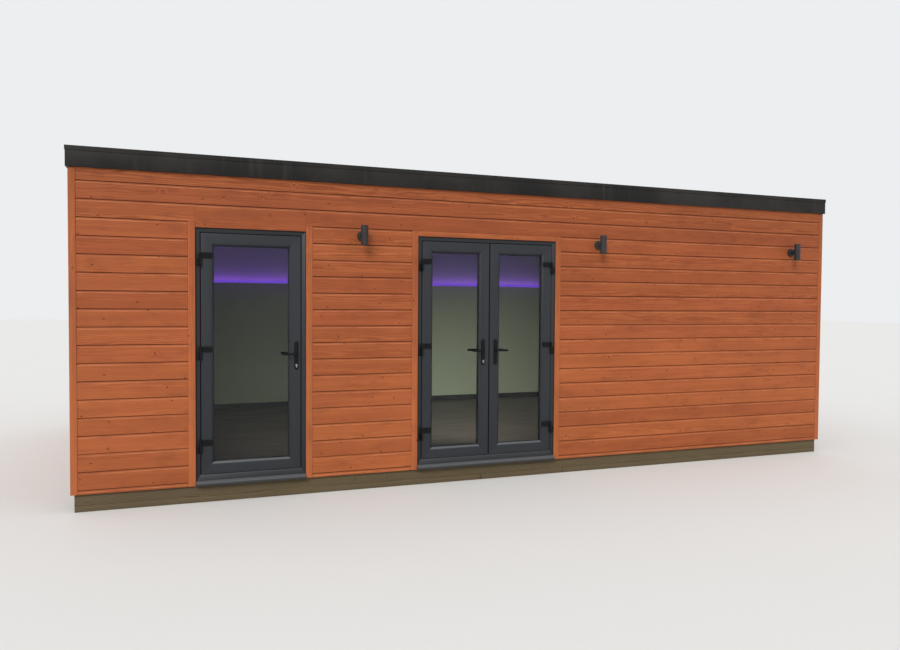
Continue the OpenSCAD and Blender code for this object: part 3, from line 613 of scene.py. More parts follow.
def powder_coat(tree, shader, base, worn, rough):
    """Powder-coated metal: an orange-peel skin, slightly paler where hands and weather reach."""
    skin = placed(tree, fine_skin, Place=place_of(tree), Scale=1100.0)
    shade = coats(tree, base, (remap(tree, skin["Tone"], 0.35, 0.75), 0.5, worn))
    surface(tree, shader, shade, remap(tree, skin["Tone"], 0.3, 0.7, rough - 0.06, rough + 0.06),
            skin["Height"], 0.18, 0.0002)
    shader.inputs["Specular IOR Level"].default_value = 0.2


def bright_metal(tree, shader, base, dull):
    """Zinc or stainless steel with fine brushing."""
    brushed = noise(tree, stretch(tree, place_of(tree), (900.0, 900.0, 60.0)), 1.0, 2.0)
    surface(tree, shader, tint(tree, brushed, base, dull), remap(tree, brushed, 0.2, 0.8, 0.24, 0.42))
    shader.inputs["Metallic"].default_value = 1.0


def painted_lining(tree, shader, base, shaded):
    """Emulsion on a lined wall: roller stipple and a slow change of tone, down to a share of the base."""
    skin = placed(tree, fine_skin, Place=place_of(tree), Scale=260.0)
    shade = coats(tree, base, (skin["Tone"], 0.35, tuple(shaded * c for c in base)))
    surface(tree, shader, shade, remap(tree, skin["Tone"], 0.3, 0.7, 0.72, 0.85), skin["Height"], 0.2, 0.0004)


def laminate(tree, shader, light, dark, joint):
    """Floor planks 1.2 m by 190 mm with staggered ends: a brick pattern, with grain along each plank."""
    place = place_of(tree)
    planks = add(tree, "ShaderNodeTexBrick", {
        "Vector": place, "Color1": (0, 0, 0), "Color2": (1, 1, 1), "Mortar": (0, 0, 0), "Scale": 1.0,
        "Mortar Size": 0.0012, "Brick Width": 1.2, "Row Height": 0.19}, offset=0.37)
    pick = red_of(tree, planks)
    shifted = shift(tree, place, x=times(tree, pick, 7.0), z=pick)
    figure = noise(tree, stretch(tree, shifted, (1.5, 42.0, 1.0)), 1.0, 5.0, 0.65)
    base = coats(tree, tint(tree, remap(tree, figure, 0.3, 0.7), light, dark),
                 (pick, 0.4, dark), (planks.outputs["Fac"], 1.0, joint))
    surface(tree, shader, base, remap(tree, figure, 0.3, 0.7, 0.38, 0.52),
            maths(tree, "SUBTRACT", figure, planks.outputs["Fac"]), 0.2, 0.0004)


def clear_glass(tree, shader, tone):
    """A clear pane with the faintest film of dust on it."""
    film = noise(tree, place_of(tree), 3.0, 5.0)
    surface(tree, shader, tone, remap(tree, film, 0.45, 0.8, 0.0, 0.03))
    shader.inputs["IOR"].default_value = 1.17
    shader.inputs["Transmission Weight"].default_value = 1.0


def lit_strip(tree, shader, glow, bright):
    """A light diffuser with its lights showing as slightly brighter spots along it."""
    spots = add(tree, "ShaderNodeTexWave", {"Vector": place_of(tree), "Scale": 10.0}, wave_type="BANDS",
                bands_direction="X").outputs["Fac"]
    pale = tuple(0.6 * c + 0.4 for c in glow)
    surface(tree, shader, (0.2, 0.2, 0.2), 0.4)
    join(tree, shader.inputs["Emission Color"], coats(tree, glow, (spots, 0.12, pale)))
    shader.inputs["Emission Strength"].default_value = bright


def frosted(tree, shader, base, shade):
    """The frosted lens inside a lamp's end."""
    ribs = noise(tree, place_of(tree), 300.0, 2.0)
    surface(tree, shader, tint(tree, ribs, base, shade), 0.35, ribs, 0.3, 0.0003)


def pale_floor(tree, shader, base, shade):
    """Plain pale floor with the slightest change of tone."""
    surface(tree, shader, coats(tree, base, (noise(tree, place_of(tree), 0.8, 3.0), 0.15, shade)), 0.9)
    shader.inputs["Specular IOR Level"].default_value = 0.1


# Settings

class CladdingSettings(PropertyGroup):
    """Sizes and colours of the shiplap boards and their trims."""
    cover: size("Cover", "Height that one board covers", 0.135)
    first: size("First joint", "Height of the lowest joint above the cladding's bottom edge", 0.032)
    tongue: size("Tongue", "How far a board runs up behind the one above", 0.012)
    cove: size("Cove height", "Height of the hollow at a board's top edge", 0.016)
    thick: size("Thickness", "Thickness of the boards", 0.020)
    lip: size("Lip", "Depth at which a board's lower edge stands off the wall", 0.0098)
    stud: size("Stud spacing", "Distance between the rows of nails", 0.6)
    # Besides the early wood, this colour gives the painted light on the lower boards
    light: colour("Stain, light", "Stain over the early wood", (184, 104, 57))
    dark: colour("Stain, dark", "Stain over the late wood", (144, 74, 40))
    red: colour("Stain, red", "The redder of the boards", (158, 79, 47))
    # Painted highlight: this paler stain lights the lower arris of each board's hollow, where it faces up
    worn: colour("Stain, worn", "Where the stain has worn thin on an edge", (206, 134, 94))
    # Besides knots, this colour paints the shade in the laps, under the lower arrises and under the roof's
    # edge
    knot: colour("Knots", "Knots and joints under the stain", (82, 38, 24))
    knots: share("Knots", "Share of cells with a knot", 0.6)
    nail: colour("Nails", "Stained nail heads", (150, 110, 84))
    nail_dull: colour("Nails, dull", "Duller places on the nail heads", (110, 76, 54))
    # Besides the trims' early wood, this colour gives the painted light low on the trims
    trim: colour("Trims, light", "Stain over the trims' early wood", (192, 111, 64))
    trim_dark: colour("Trims, dark", "Stain over the trims' late wood", (160, 88, 48))
    trim_knots: share("Trims' knots", "Share of cells with a knot in the trims", 0.3)


class BaseSettings(PropertyGroup):
    """Sizes and colours of the treated timbers under the floor."""
    bearers: number("Bearers", "How many bearers lie on the ground", 7)
    bearer: size("Bearer width", "Width of a bearer", 0.1)
    joists: number("Joists", "How many floor joists there are", 13)
    joist: size("Joist width", "Width of a joist and of the rim boards", 0.038)
    # Dark treated softwood, kept darker still as painted shade in the recess under the cladding
    light: colour("Treated, light", "Treated softwood's early wood", (104, 90, 62))
    dark: colour("Treated, dark", "Treated softwood's late wood", (76, 63, 42))
    knot: colour("Treated, knots", "Knots in the treated softwood", (52, 38, 25))


class RoofSettings(PropertyGroup):
    """Sizes and colours of the roof's edge and covering, the gutter and the downpipe."""
    height: size("Fascia height", "Height of the fascia boards", 0.152)
    length: size("Board length", "Length of the front fascia's first board", 3.66)
    side: size("Side fascia", "Depth of a side fascia from its trim inwards", 0.022)
    edge: size("Edge trim", "Height of the trim that laps over the fascia's top", 0.034)
    step: size("Setback", "How far the fascia board lies behind the edge trim", 0.003)
    kerb: size("Kerb", "Width of the kerb under the covering's edge", 0.045)
    kerb_high: size("Kerb height", "Height of the kerb's top over the covering's plane", 0.0597)
    gutter: size("Gutter radius", "Outer radius of the half-round gutter", 0.056)
    gutter_wall: size("Gutter wall", "Thickness of the gutter", 0.0028)
    pipe: size("Downpipe radius", "Outer radius of the downpipe", 0.0335)
    shoe: size("Shoe height", "Height at which the downpipe turns out to its shoe", 0.17)
    shoe_bend: size("Shoe bend", "Radius of the bend to the shoe", 0.06)
    fascia: colour("Fascia", "Charcoal of the fascia boards", (18, 17, 16))
    rubber: colour("Roof covering", "Black of the rubber sheet", (36, 36, 37))
    plastic: colour("Rainwater goods", "Black plastic of the gutter and downpipe", (34, 34, 35))
    dust: colour("Dust", "Dust on dark surfaces", (112, 106, 98))
    zinc: colour("Screws", "Zinc of the screws", (170, 170, 168))
    zinc_dull: colour("Screws, dull", "Duller places on the screws", (120, 120, 120))


class DoorSettings(PropertyGroup):
    """Sizes and colours of the door frames, leaves and glass."""
    frame_face: size("Frame face", "Face width of the frame", 0.036)
    frame_bottom: size("Bottom rail", "How much wider the frame's bottom side is", 0.010)
    stop: size("Stop", "How far the frame's stop stands in past its face", 0.017)
    stile: size("Stile", "Flat width of a leaf's stiles and rails", 0.078)
    bead: size("Bead", "Width of the sloping bead", 0.016)
    pane: size("Pane", "Thickness of one pane", 0.004)
    foil: colour("Foil", "Anthracite foil of the leaves", (37, 40, 45))
    pale: colour("Foil, pale", "Paler places on the foil", (58, 62, 67))
    frame_foil: colour("Frame foil", "Foil of the frames, a little darker", (36, 38, 41))
    frame_pale: colour("Frame foil, pale", "Paler places on the frames", (54, 56, 58))
    sealant: size("Sealant", "Width of the sealant between a frame and the trims", 0.010)
    sill_face: size("Sill face", "Height of the sill's nose", 0.026)
    sill_round: size("Sill round", "Radius of the nose's rounded edges", 0.008)
    sill: colour("Sill", "The sill's foil", (56, 55, 56))
    # Pale colour on slopes that face up: painted light from above, with some dust
    dust: colour("Dust", "Dust on slopes that face up", (104, 107, 109))
    rubber: colour("Gaskets", "Black rubber", (18, 18, 19))
    rubber_dust: colour("Gaskets, dusty", "Dust on the rubber", (60, 60, 60))
    spacer: colour("Spacer", "Dark spacer bar between the panes", (40, 42, 44))
    spacer_pale: colour("Spacer, pale", "Paler places on the spacer bar", (70, 72, 74))


class HardwareSettings(PropertyGroup):
    """Sizes and colours of the hinges, handles and lamps."""
    black: colour("Black", "Powder coat of the hinges and handles", (6, 6, 7))
    worn: colour("Black, worn", "Paler places on the powder coat", (15, 16, 17))
    nickel: colour("Nickel", "The key cylinders", (196, 192, 184))
    nickel_dull: colour("Nickel, dull", "Duller places on the key cylinders", (140, 138, 132))
    lamp: colour("Lamp", "Grey of the lamps", (47, 48, 48))
    lamp_worn: colour("Lamp, worn", "Paler places on the lamps", (70, 71, 70))
    lens: colour("Lens", "The lamps' frosted lenses", (214, 214, 208))
    lens_shade: colour("Lens, shade", "Darker places on the lenses", (188, 188, 182))
    hinge_pitch: size("Hinge spacing", "Distance between a leaf's hinges", 0.732)
    flag: size("Flag height", "Height of the leaf's half of a hinge", 0.046)
    barrel: size("Hinge barrel", "Radius of a hinge's barrel", 0.009)
    plate: size("Plate height", "Height of the handle plates", 0.228)
    plate_round: size("Plate ends", "Radius of a handle plate's round ends", 0.016)
    plate_drop: size("Plate drop", "Height of the lever above its plate's middle", 0.014)
    key_drop: size("Key drop", "Distance from the lever down to the key cylinder", 0.092)
    lever_reach: size("Lever reach", "Distance from the leaf to the middle of a lever's grip", 0.0417)
    lever_bend: size("Lever bend", "Radius of a lever's elbow", 0.014)
    lamp_middle: size("Middle lamp", "Distance from the left end to the middle lamp", 4.451)
    lamp_plate: size("Lamp plate", "Radius of a lamp's wall plate", 0.042)
    lamp_radius: size("Lamp radius", "Outer radius of a lamp's tube", 0.0298)
    lamp_bore: size("Lamp bore", "Inner radius of a lamp's tube", 0.0272)
    lamp_stand: size("Lamp stand-off", "Distance from the wall to a lamp's middle", 0.092)


class RoomSettings(PropertyGroup):
    """Sizes and colours of the room's linings and of its strip light."""
    wall: colour("Walls", "Sage emulsion", (184, 190, 158))
    ceiling: colour("Ceiling", "White emulsion", (226, 226, 222))
    floor: colour("Floor", "Planks, light", (112, 100, 86))
    floor_dark: colour("Floor, dark", "Planks, dark", (74, 64, 55))
    floor_joint: colour("Floor joints", "Joints between the planks", (38, 33, 28))
    deal: colour("Roof joists", "Planed softwood's early wood", (196, 164, 112))
    deal_dark: colour("Roof joists, dark", "Planed softwood's late wood", (164, 128, 80))
    deal_knot: colour("Roof joists, knots", "Knots in the planed softwood", (112, 76, 42))
    strand: colour("Roof deck", "Strand board, light", (190, 154, 100))
    strand_dark: colour("Roof deck, dark", "Strand board, dark", (150, 112, 66))
    strip_height: size("Rail height", "Height of the light rail above the floor", 1.665)
    strip_size: size("Rail depth", "Height of the light rail's section", 0.034)
    strip_reach: size("Rail reach", "How far the light rail stands off the wall", 0.085)
    strip_end: size("Rail end", "Place of the light rail's right end", 2.3)
    rail: colour("Rail", "Coated metal of the light rail", (196, 196, 194))
    rail_worn: colour("Rail, worn", "Darker places on the light rail", (176, 176, 174))
    glow: colour("Glow", "Colour of the strip light", (128, 54, 250))
    tape_strength: strength("Tape strength", "Brightness of the tape that lights the wall", 18.0)
    edge_strength: strength("Edge strength", "Brightness of the rail's front edge", 0.5)
    # The skirting's own dark paint, and partly painted shade at the foot of the walls
    skirting: colour("Skirting", "Dark paint of the skirting boards", (34, 34, 33))
    skirting_dust: colour("Skirting, dusty", "Dust on the skirting boards", (70, 68, 64))
    skirting_high: size("Skirting height", "Height of the skirting boards", 0.070)
    skirting_thick: size("Skirting thickness", "Thickness of the skirting boards", 0.015)


class StageSettings(PropertyGroup):
    """Camera, floor and light."""
    place: FloatVectorProperty(name="Camera", description="The camera's place", subtype="TRANSLATION",
                               default=(-2.821, -8.078, 1.576), size=3, unit="LENGTH")
    yaw: angle("Yaw", "The camera's turn to the right of +Y", 20.147)
    pitch: angle("Pitch", "The camera's tilt above level", -1.723)
    roll: angle("Roll", "The camera's lean to its left", 0.387)
    lens: FloatProperty(name="Lens", description="Focal length on a sensor 36 mm wide, in millimetres",
                        default=29.176, min=1.0)
    floor: colour("Floor", "The floor under the building", (222, 221, 218))
    floor_shade: colour("Floor, shade", "Slightly darker places on the floor", (206, 205, 202))
    sky: colour("Light", "The light from all round", (226, 230, 236))
    backdrop: colour("Backdrop", "What the eye and the glass see behind the building", (236, 238, 240))
    sky_strength: strength("Light strength", "Strength of the light from all round", 0.7)
    sun_strength: strength("Key light", "Strength of the large soft lamp", 1.85)
    above_strength: strength("Light from above", "Strength of the broad light overhead", 0.8)
    single_daylight: strength("Daylight, single door", "Light that enters by the single door", 2.5)
    double_daylight: strength("Daylight, double door", "Light that enters by the double door", 10.0)
    daylight_turn: angle("Daylight turn", "The daylight's turn in the room, minus to the right", -24)
    strip_light: strength("Strip light", "Strength of the strip's light on the rear wall", 2.1)


def settings(name):
    """The settings of one kind."""
    return getattr(bpy.context.scene, "pod_" + name)


# Timber

def picked(rng):
    """A board's own place in the figure: along, across, through, and a slight lean of the heart line."""
    grain = [rng.uniform(*span) for span in ((0, 60), (-0.07, 0.07), (0.03, 0.1), (-0.02, 0.02))]
    return np.array(grain), rng.uniform(0, 1)


def shiplap(low, high, s):
    """A shiplap board's outline as (depth, height), cut to the heights from low to high.

    From the outer lower arris up: a flat face, a hollow quarter curve in to the tongue, the tongue's
    top, the flat back, and the rebate that laps over the board below. The third number is the share
    of painted shade: none on the face, rising into the hollow, and some on the lower arris. It is
    below 0 on the hollow's lower arris, where it gives a painted highlight.
    """
    t, c = s.thick, s.cover
    neck, tongue = 0.0106, 0.009
    a = np.linspace(0, np.pi / 2, 6)
    cove = np.stack([t - (t - neck) * (1 - np.cos(a)), c - 0.0015 - s.cove * (1 - np.sin(a)),
                     np.linspace(0, 1, 6) ** 2.2], 1)
    # Below 0: a painted highlight on the hollow's lower arris
    cove[0, 2] = -1.0
    outline = np.concatenate([
        [[t - 0.0018, 0.0, 1.0], [t - 0.0004, 0.0006, 0.6], [t, 0.0025, 0.15], [t, 0.007, 0.0],
         [t, cove[0, 1] - 0.004, 0.0]], cove,
        [[tongue, c - 0.001, 1.0], [tongue, c + s.tongue, 1.0], [0.0, c + s.tongue, 1.0],
         [0.0, s.tongue, 1.0], [s.lip, s.tongue, 1.0], [s.lip, 0.0, 1.0]],
    ])
    outline[:, 1] = np.clip(outline[:, 1], low, high)
    different = np.abs(outline - np.roll(outline, 1, 0))[:, :2].max(1) > 1e-6
    return outline[different]


def clad(shape, nails, node, s, rng, joints, drop):
    """Boards one face in courses, with staggered butt joints and a nail at each stud.

    Course k's bottom edge lies at deck + first + k cover. joints gives places along a course for each
    course in turn. drop is None, or (start, stop, depth) where the first course hangs over a doorway.
    """
    low, high = corners(node)
    run, out = (0, 1) if high[0] - low[0] > high[1] - low[1] else (1, 0)
    sign = -1.0 if low[out] + high[out] < 0 else 1.0
    back = high[out] if sign < 0 else low[out]
    length = high[run] - low[run]
    end_gap, nail_height, least_course = 0.0004, 0.028, 0.05
    deck = corners("left_cladding")[0][2]
    first = math.floor((low[2] - deck - s.first + 1e-4) / s.cover)
    last = math.ceil((high[2] - deck - s.first - 1e-4) / s.cover)
    for k in range(first, last):
        bottom = deck + s.first + k * s.cover
        outline = shiplap(max(0.0, low[2] - bottom), min(s.cover + s.tongue, high[2] - bottom), s)
        cuts = [low[run], *(joints[k % len(joints)] if joints else ()), high[run]]
        if drop and k == first:
            cuts = sorted(cuts[:1] + cuts[-1:] + [drop[0], drop[1]])
        for start, stop in zip(cuts[:-1], cuts[1:]):
            grain, tone = picked(rng)
            board = outline[:, :2] + rng.normal(0, 0.0003, 2)
            if drop and k == first and abs(start - drop[0]) < 1e-6:
                hang = board[:, 1] < s.tongue + 0.001
                board = np.where(hang[:, None], board - [0.0, drop[2]], board)
            place = np.stack([back + sign * board[:, 0], bottom + board[:, 1]], 1)
            # The outline's third column is its seam value: painted shade in the laps, a painted highlight
            # below 0
            carry(shape, run, place, start + end_gap, stop - end_gap, 0, grain, tone, outline[:, 2])
        if min(s.cover, high[2] - bottom) > least_course and bottom > low[2] - 0.01:
            spots = np.arange(low[run] + 0.03, high[run],
                              (length - 0.06) / max(1, round(length / s.stud)) - 1e-6)
            at = np.zeros((len(spots), 3))
            at[:, run] = spots + rng.normal(0, 0.004, len(spots))
            at[:, out] = back + sign * (s.thick + 0.0004)
            at[:, 2] = bottom + nail_height + rng.normal(0, 0.002, len(spots))
            nails.copies(dome(sign * np.eye(3)[out], 0.0032, 0.0008), at)


def plank(shape, axis, a, b, start, stop, rng, ease=0.002):
    """A planed timber with eased arrises, its grain along the axis."""
    grain, tone = picked(rng)
    carry(shape, axis, rounded(*a, *b, ease), start, stop, ease, grain, tone)


class POD_OT_cladding(Operator):
    """Boards the four faces in shiplap, with nails"""
    bl_idname = "pod.cladding"
    bl_label = "Cladding"

    def execute(self, context):
        s = settings("cladding")
        rng = np.random.default_rng(11)
        stain = finish("stained_boards", stained_timber, s.light, s.dark, s.red, s.worn, s.knot, s.knots)
        low, high = corners("single_door_frame")
        head = "front_cladding_head"
        drop = (low[0], high[0], corners(head)[0][2] - high[2] - FIT)
        joints = {head: [(1.2,), (-0.6, 2.4), (0.0,)],
                  "rear_cladding": [(-1.2,), (0.6,), (-0.6,), (1.8,), (0.0,)]}
        nails = Shape()
        for face in ("front_cladding_head", "front_cladding_left", "front_cladding_middle",
                     "front_cladding_right", "left_cladding", "right_cladding", "rear_cladding"):
            boards = Shape()
            clad(boards, nails, face, s, rng, joints.get(face, ()), drop if face == head else None)
            boards.piece(face + "_boards", stain, "cladding_timber", [face])
        nails.piece("cladding_nails", finish("nail_heads", bright_metal, s.nail, s.nail_dull), "hardware")
        return {"FINISHED"}


class POD_OT_trims(Operator):
    """Puts boards over the corners and beside the doors"""
    bl_idname = "pod.trims"
    bl_label = "Trims"

    def execute(self, context):
        s = settings("cladding")
        rng = np.random.default_rng(23)
        stain = finish("stained_trims", stained_timber, s.trim, s.trim_dark, s.red, s.worn, s.knot,
                       s.trim_knots)
        corner = Shape()
        low, high = corners("corner_trims")
        cladding = corners("front_cladding_head")[0]
        wide = cladding[0] - low[0] - 0.0004
        deep = s.thick + (cladding[1] - low[1])
        fall = 0.0125 * wide
        for x, toward in ((low[0], 1.0), (high[0], -1.0)):
            for y, inward, top in ((low[1], 1.0, corners("front_fascia")[0][2] - fall),
                                   (high[1], -1.0, corners("rear_fascia")[0][2])):
                for across, near, far in ((wide, 0.0, deep), (deep, deep + 0.0004, wide)):
                    plank(corner, 2, sorted((x, x + toward * across)),
                          sorted((y + inward * near, y + inward * far)), low[2], top - FIT, rng)
        corner.piece("corner_trim_boards", stain, "trim_timber", ["corner_trims"])
        trims = Shape()
        low, high = corners("door_trims")
        gap = 0.0003
        wide = corners("single_door_frame")[0][0] - corners("front_cladding_left")[1][0]
        for kind in ("single", "double"):
            first, last = corners(kind + "_door_frame")
            for x in (first[0] - wide, last[0]):
                plank(trims, 2, (x + gap, x + wide - gap), (low[1], high[1]), low[2], high[2] - FIT, rng)
        plank(trims, 0, (low[1] + 0.001, high[1]), (last[2] + gap, high[2] - FIT),
              first[0] + gap, last[0] - gap, rng)
        trims.piece("door_trim_boards", stain, "trim_timber", ["door_trims"])
        return {"FINISHED"}


class POD_OT_base(Operator):
    """Lays the treated bearers and joists under the floor"""
    bl_idname = "pod.base"
    bl_label = "Base"

    def execute(self, context):
        s = settings("base")
        rng = np.random.default_rng(5)
        # The treated timbers' colours hold their own dark tone and painted shade for the recess under the
        # cladding
        treated = finish("treated_softwood", bare_timber, s.light, s.dark, s.knot, 0.35)
        bearers = Shape()
        low, high = corners("base_bearers")
        half = s.bearer / 2
        for y in np.linspace(low[1] + half, high[1] - half, s.bearers):
            plank(bearers, 0, about(y, half), (low[2], high[2]), low[0], high[0], rng, 0.003)
        bearers.piece("bearer_timbers", treated, "treated_timber", ["base_bearers"])
        joists = Shape()
        low, high = corners("floor_joists")
        z = (low[2], high[2])
        half = s.joist / 2
        rim = s.joist + FIT
        for x in np.linspace(low[0] + half, high[0] - half, s.joists):
            plank(joists, 1, about(x, half), z, low[1] + rim, high[1] - rim, rng)
        for y in (low[1], high[1] - s.joist):
            plank(joists, 0, (y, y + s.joist), z, low[0], high[0], rng)
        joists.piece("joist_timbers", treated, "treated_timber", ["floor_joists"])
        return {"FINISHED"}


# Roof

class POD_OT_roof(Operator):
    """Fits the fascias with their edge trim, and the rubber covering over its kerbs"""
    bl_idname = "pod.roof"
    bl_label = "Roof"

    def execute(self, context):
        s = settings("roof")
        charcoal = finish("charcoal_board", moulded, s.fascia, s.dust, 0.5, 0.10)
        rear_low, rear_high = corners("rear_fascia")
        low, high = corners("front_fascia")
        boards = Shape()
        joint = low[0] + s.length
        front, top = low[1] + s.step, high[2] - 0.004
        for x in ((low[0] + s.step, joint - 0.002), (joint + 0.002, high[0] - s.step)):
            slab(boards, 0, (front, high[1]), (low[2], top), *x, 0.002)
        slab(boards, 0, (front - 0.0015, high[1]), (low[2] + FIT, top), *about(joint, 0.02), 0.0015)
        trim = np.array([[0.0, -s.edge], [0.0, -0.002], [0.002, 0.0], [0.05, 0.0], [0.05, -0.002],
                         [0.0026, -0.003], [0.0026, -s.edge]])
        carry(boards, 0, trim + [low[1], high[2]], low[0], high[0])
        boards.piece("front_fascia_boards", charcoal, "roof_trim", ["front_fascia"])
        sides = Shape()
        first, last = corners("side_fascias")
        fall = (high[2] - s.height - rear_low[2]) / (last[1] - first[1])
        ends = np.array([first[1], last[1]])[:, None]
        tops = last[2] - fall * (ends - first[1])
        for x, way in ((first[0], 1.0), (last[0], -1.0)):
            for near, far, bottom, top, ease in ((s.step, s.side, -s.height, -0.004, 0.002),
                                                 (0.0, 0.9 * s.step, -s.edge, 0.0, 0.001),
                                                 (0.0, s.side + 9 * s.step, -0.0026, 0.0, 0.001)):
                line = rounded(*sorted((x + way * near, x + way * far)), bottom, top, ease)
                sides.rings(np.stack(np.broadcast_arrays(line[:, 0], ends, line[:, 1] + tops), -1))
        sides.piece("side_fascia_boards", charcoal, "roof_trim", ["side_fascias"])
        back = Shape()
        slab(back, 0, (rear_low[1], rear_high[1]), (rear_low[2], rear_high[2] - 0.0006),
             rear_low[0] + s.step, rear_high[0] - s.step, 0.002, 0.0)
        back.piece("rear_fascia_board", charcoal, "roof_trim", ["rear_fascia"])
        self.cover(s, fall)
        return {"FINISHED"}

    def cover(self, s, fall):
        """The covering: z = plane(y) + kerb h(x, y) + seams, on a grid that is closer at the kerbs.

        h climbs from 0 to the kerb's height by a smooth step over 12 mm at the front and both sides.
        """
        low, high = corners("roof_membrane")
        rise, lap, seam_x = 0.012, 0.04, 1.2
        near = np.array([0.0, 0.004, 0.03, 0.040, 0.044, 0.048, 0.052, 0.058, 0.07])
        x = np.concatenate([low[0] + near, np.linspace(low[0] + 0.15, high[0] - 0.15, 90),
                            (high[0] - near)[::-1]])
        y = np.concatenate([low[1] + near, np.linspace(low[1] + 0.15, high[1] - 0.02, 60),
                            [high[1] - 0.004, high[1]]])
        plane = high[2] - s.kerb_high - fall * (y - low[1])
        px, py = np.meshgrid(x, y, indexing="ij")
        away = np.minimum(np.minimum(px - low[0], high[0] - px), py - low[1])
        climb = np.clip((s.kerb + rise - away) / rise, 0, 1)
        inside = (py < corners("rear_fascia")[0][1]) | (away > s.kerb + rise)
        lift = np.where(inside, (s.kerb_high - 0.002) * climb * climb * (3 - 2 * climb), 0.0)
        seam = 0.0016 * (np.abs(np.abs(px) - seam_x) < lap)
        wave = 0.0012 * (1 + np.sin(px * 3.1 + 0.6 * np.sin(py * 2.3)) * np.sin(py * 2.7)) * (away > 0.1)
        upper = np.stack([px, py, plane + lift + seam + wave], -1)
        lower = np.stack([px, py, np.broadcast_to(plane - 0.003, px.shape)], -1)[:, ::-1]
        sheet = Shape()
        sheet.rings(np.concatenate([upper, lower], 1))
        rubber = finish("rubber_sheet", moulded, s.rubber, s.dust, 0.62, 0.2)
        sheet.piece("roof_covering", rubber, "roof_rubber", ["roof_membrane"])


class POD_OT_rainwater(Operator):
    """Hangs the half-round gutter and the downpipe at the back"""
    bl_idname = "pod.rainwater"
    bl_label = "Gutter and downpipe"

    def execute(self, context):
        s = settings("roof")
        plastic = finish("rainwater_plastic", moulded, s.plastic, s.dust, 0.36, 0.18)
        low, high = corners("gutter")
        pipe_low, pipe_high = corners("downpipe")
        pipe_x = (pipe_low[0] + pipe_high[0]) / 2
        fascia = corners("rear_fascia")[1][1]
        middle, rim, base = fascia + s.gutter, high[2], high[2] - s.gutter
        cap = 0.004
        screw = dome((0, 1, 0), 0.0045, 0.002, 12)
        gutter, pipe, screws = Shape(), Shape(), Shape()

        def bowl(outer, inner, start, stop, ease=0.001):
            """Half a ring, which stands out from the gutter's radius: outer arc one way, inner arc back."""
            ring = np.concatenate([arc((middle, rim), s.gutter + outer, 180, 360, 25),
                                   arc((middle, rim), s.gutter + inner, 360, 180, 25)])
            carry(gutter, 0, ring, start, stop, ease)

        inner_ends = (low[0] + 0.002, high[0] - 0.002)
        bowl(0.0, -s.gutter_wall, *inner_ends, 0.0)
        carry(gutter, 0, arc((middle + s.gutter, rim - 0.004), 0.004, 0, 330, 12), *inner_ends, 0.001)
        for x in (low[0], high[0] - cap):
            carry(gutter, 0, arc((middle, rim), s.gutter, 180, 360, 25), x, x + cap, 0.001)
        for x in (low[0] + 2.4, low[0] + 4.8):
            bowl(0.0026, -0.0002, x - 0.05, x + 0.05)
            for edge in (-0.05, 0.042):
                bowl(0.0036, 0.0, x + edge, x + edge + 0.008)
        brackets = np.linspace(low[0] + 0.215, high[0] - 0.215, 8)
        for x in brackets:
            bowl(0.003, 0.0002, x - 0.013, x + 0.013)
            slab(gutter, 0, (fascia, fascia + 0.006), (rim - 0.075, rim - 0.002), *about(x, 0.02),
                 0.002, 0.002)
            slab(gutter, 0, (fascia + 0.003, fascia + 0.012), (rim - 0.009, rim - 0.001), *about(x, 0.013),
                 0.002)
        outlet = low[2]
        lathe(gutter, [(0.031, outlet), (0.034, outlet), (0.034, outlet + 0.03), (0.040, outlet + 0.036),
                       (0.046, base + 0.004), (0.046, base + 0.012), (0.031, base + 0.012)],
              (pipe_x, middle, 0), (0, 0, 1), 40)
        bowl(0.0032, -0.0004, pipe_x - 0.07, pipe_x + 0.07)
        gutter.piece("gutter_lengths", plastic, "rainwater", ["gutter"])
        self.pipe(pipe, s, pipe_x, middle, pipe_high[2])
        wall, top = corners("rear_cladding")[1][1], pipe_high[2]
        clip = [(0.0337, -0.014), (0.038, -0.014), (0.038, 0.014), (0.0337, 0.014)]
        for z in (0.36, (0.11 + top) / 2 + 0.015, top - 0.235):
            lathe(pipe, clip, (pipe_x, middle, z), (0, 0, 1))
            slab(pipe, 1, about(pipe_x, 0.014), about(z, 0.012), wall, middle - 0.032, 0.003, 0.0)
            slab(pipe, 1, about(pipe_x, 0.034), about(z, 0.015), wall, wall + 0.005, 0.004)
            screws.copies(screw, [[pipe_x + d, wall + 0.005, z] for d in (-0.026, 0.026)])
        screws.copies(screw, [[x, fascia + 0.006, rim - 0.066] for x in brackets])
        collar = [(0.0337, 0.0), (0.0375, 0.002), (0.0375, 0.044), (0.0382, 0.046), (0.0382, 0.052),
                  (0.0345, 0.054)]
        for z in (s.shoe + 0.004, top - 0.055):
            lathe(pipe, collar, (pipe_x, middle, z), (0, 0, 1))
        pipe.piece("downpipe_lengths", plastic, "rainwater", ["downpipe"])
        screws.piece("rainwater_screws", finish("zinc_screws", bright_metal, s.zinc, s.zinc_dull), "hardware")
        return {"FINISHED"}

    def pipe(self, shape, s, x, y, top):
        """The pipe: straight down, round a bend of 60 degrees and out, and back inside for a hollow end."""
        slant = math.radians(60)
        bend = np.linspace(0, slant, 9)
        start = s.shoe + s.shoe_bend * math.tan(slant / 2)
        path = np.concatenate([[[0.0, top]], np.stack([s.shoe_bend * (1 - np.cos(bend)),
                                                       start - s.shoe_bend * np.sin(bend)], 1)])
        out = np.array([math.sin(slant), -math.cos(slant)])
        end = path[-1] + out * 0.055
        path = np.concatenate([path, [end, end, end - out * 0.05]])
        along = np.concatenate([[[0, -1]], np.stack([np.sin(bend), -np.cos(bend)], 1), [out] * 3])
        grown = np.ones(len(path))
        grown[-2:] = 0.92
        sweep(shape, np.insert(path + [y, 0.0], 0, x, axis=1), np.insert(along, 0, 0.0, axis=1), (1, 0, 0),
              grown, grown, arc((0, 0), s.pipe, 0, 345, 24))


# Doors

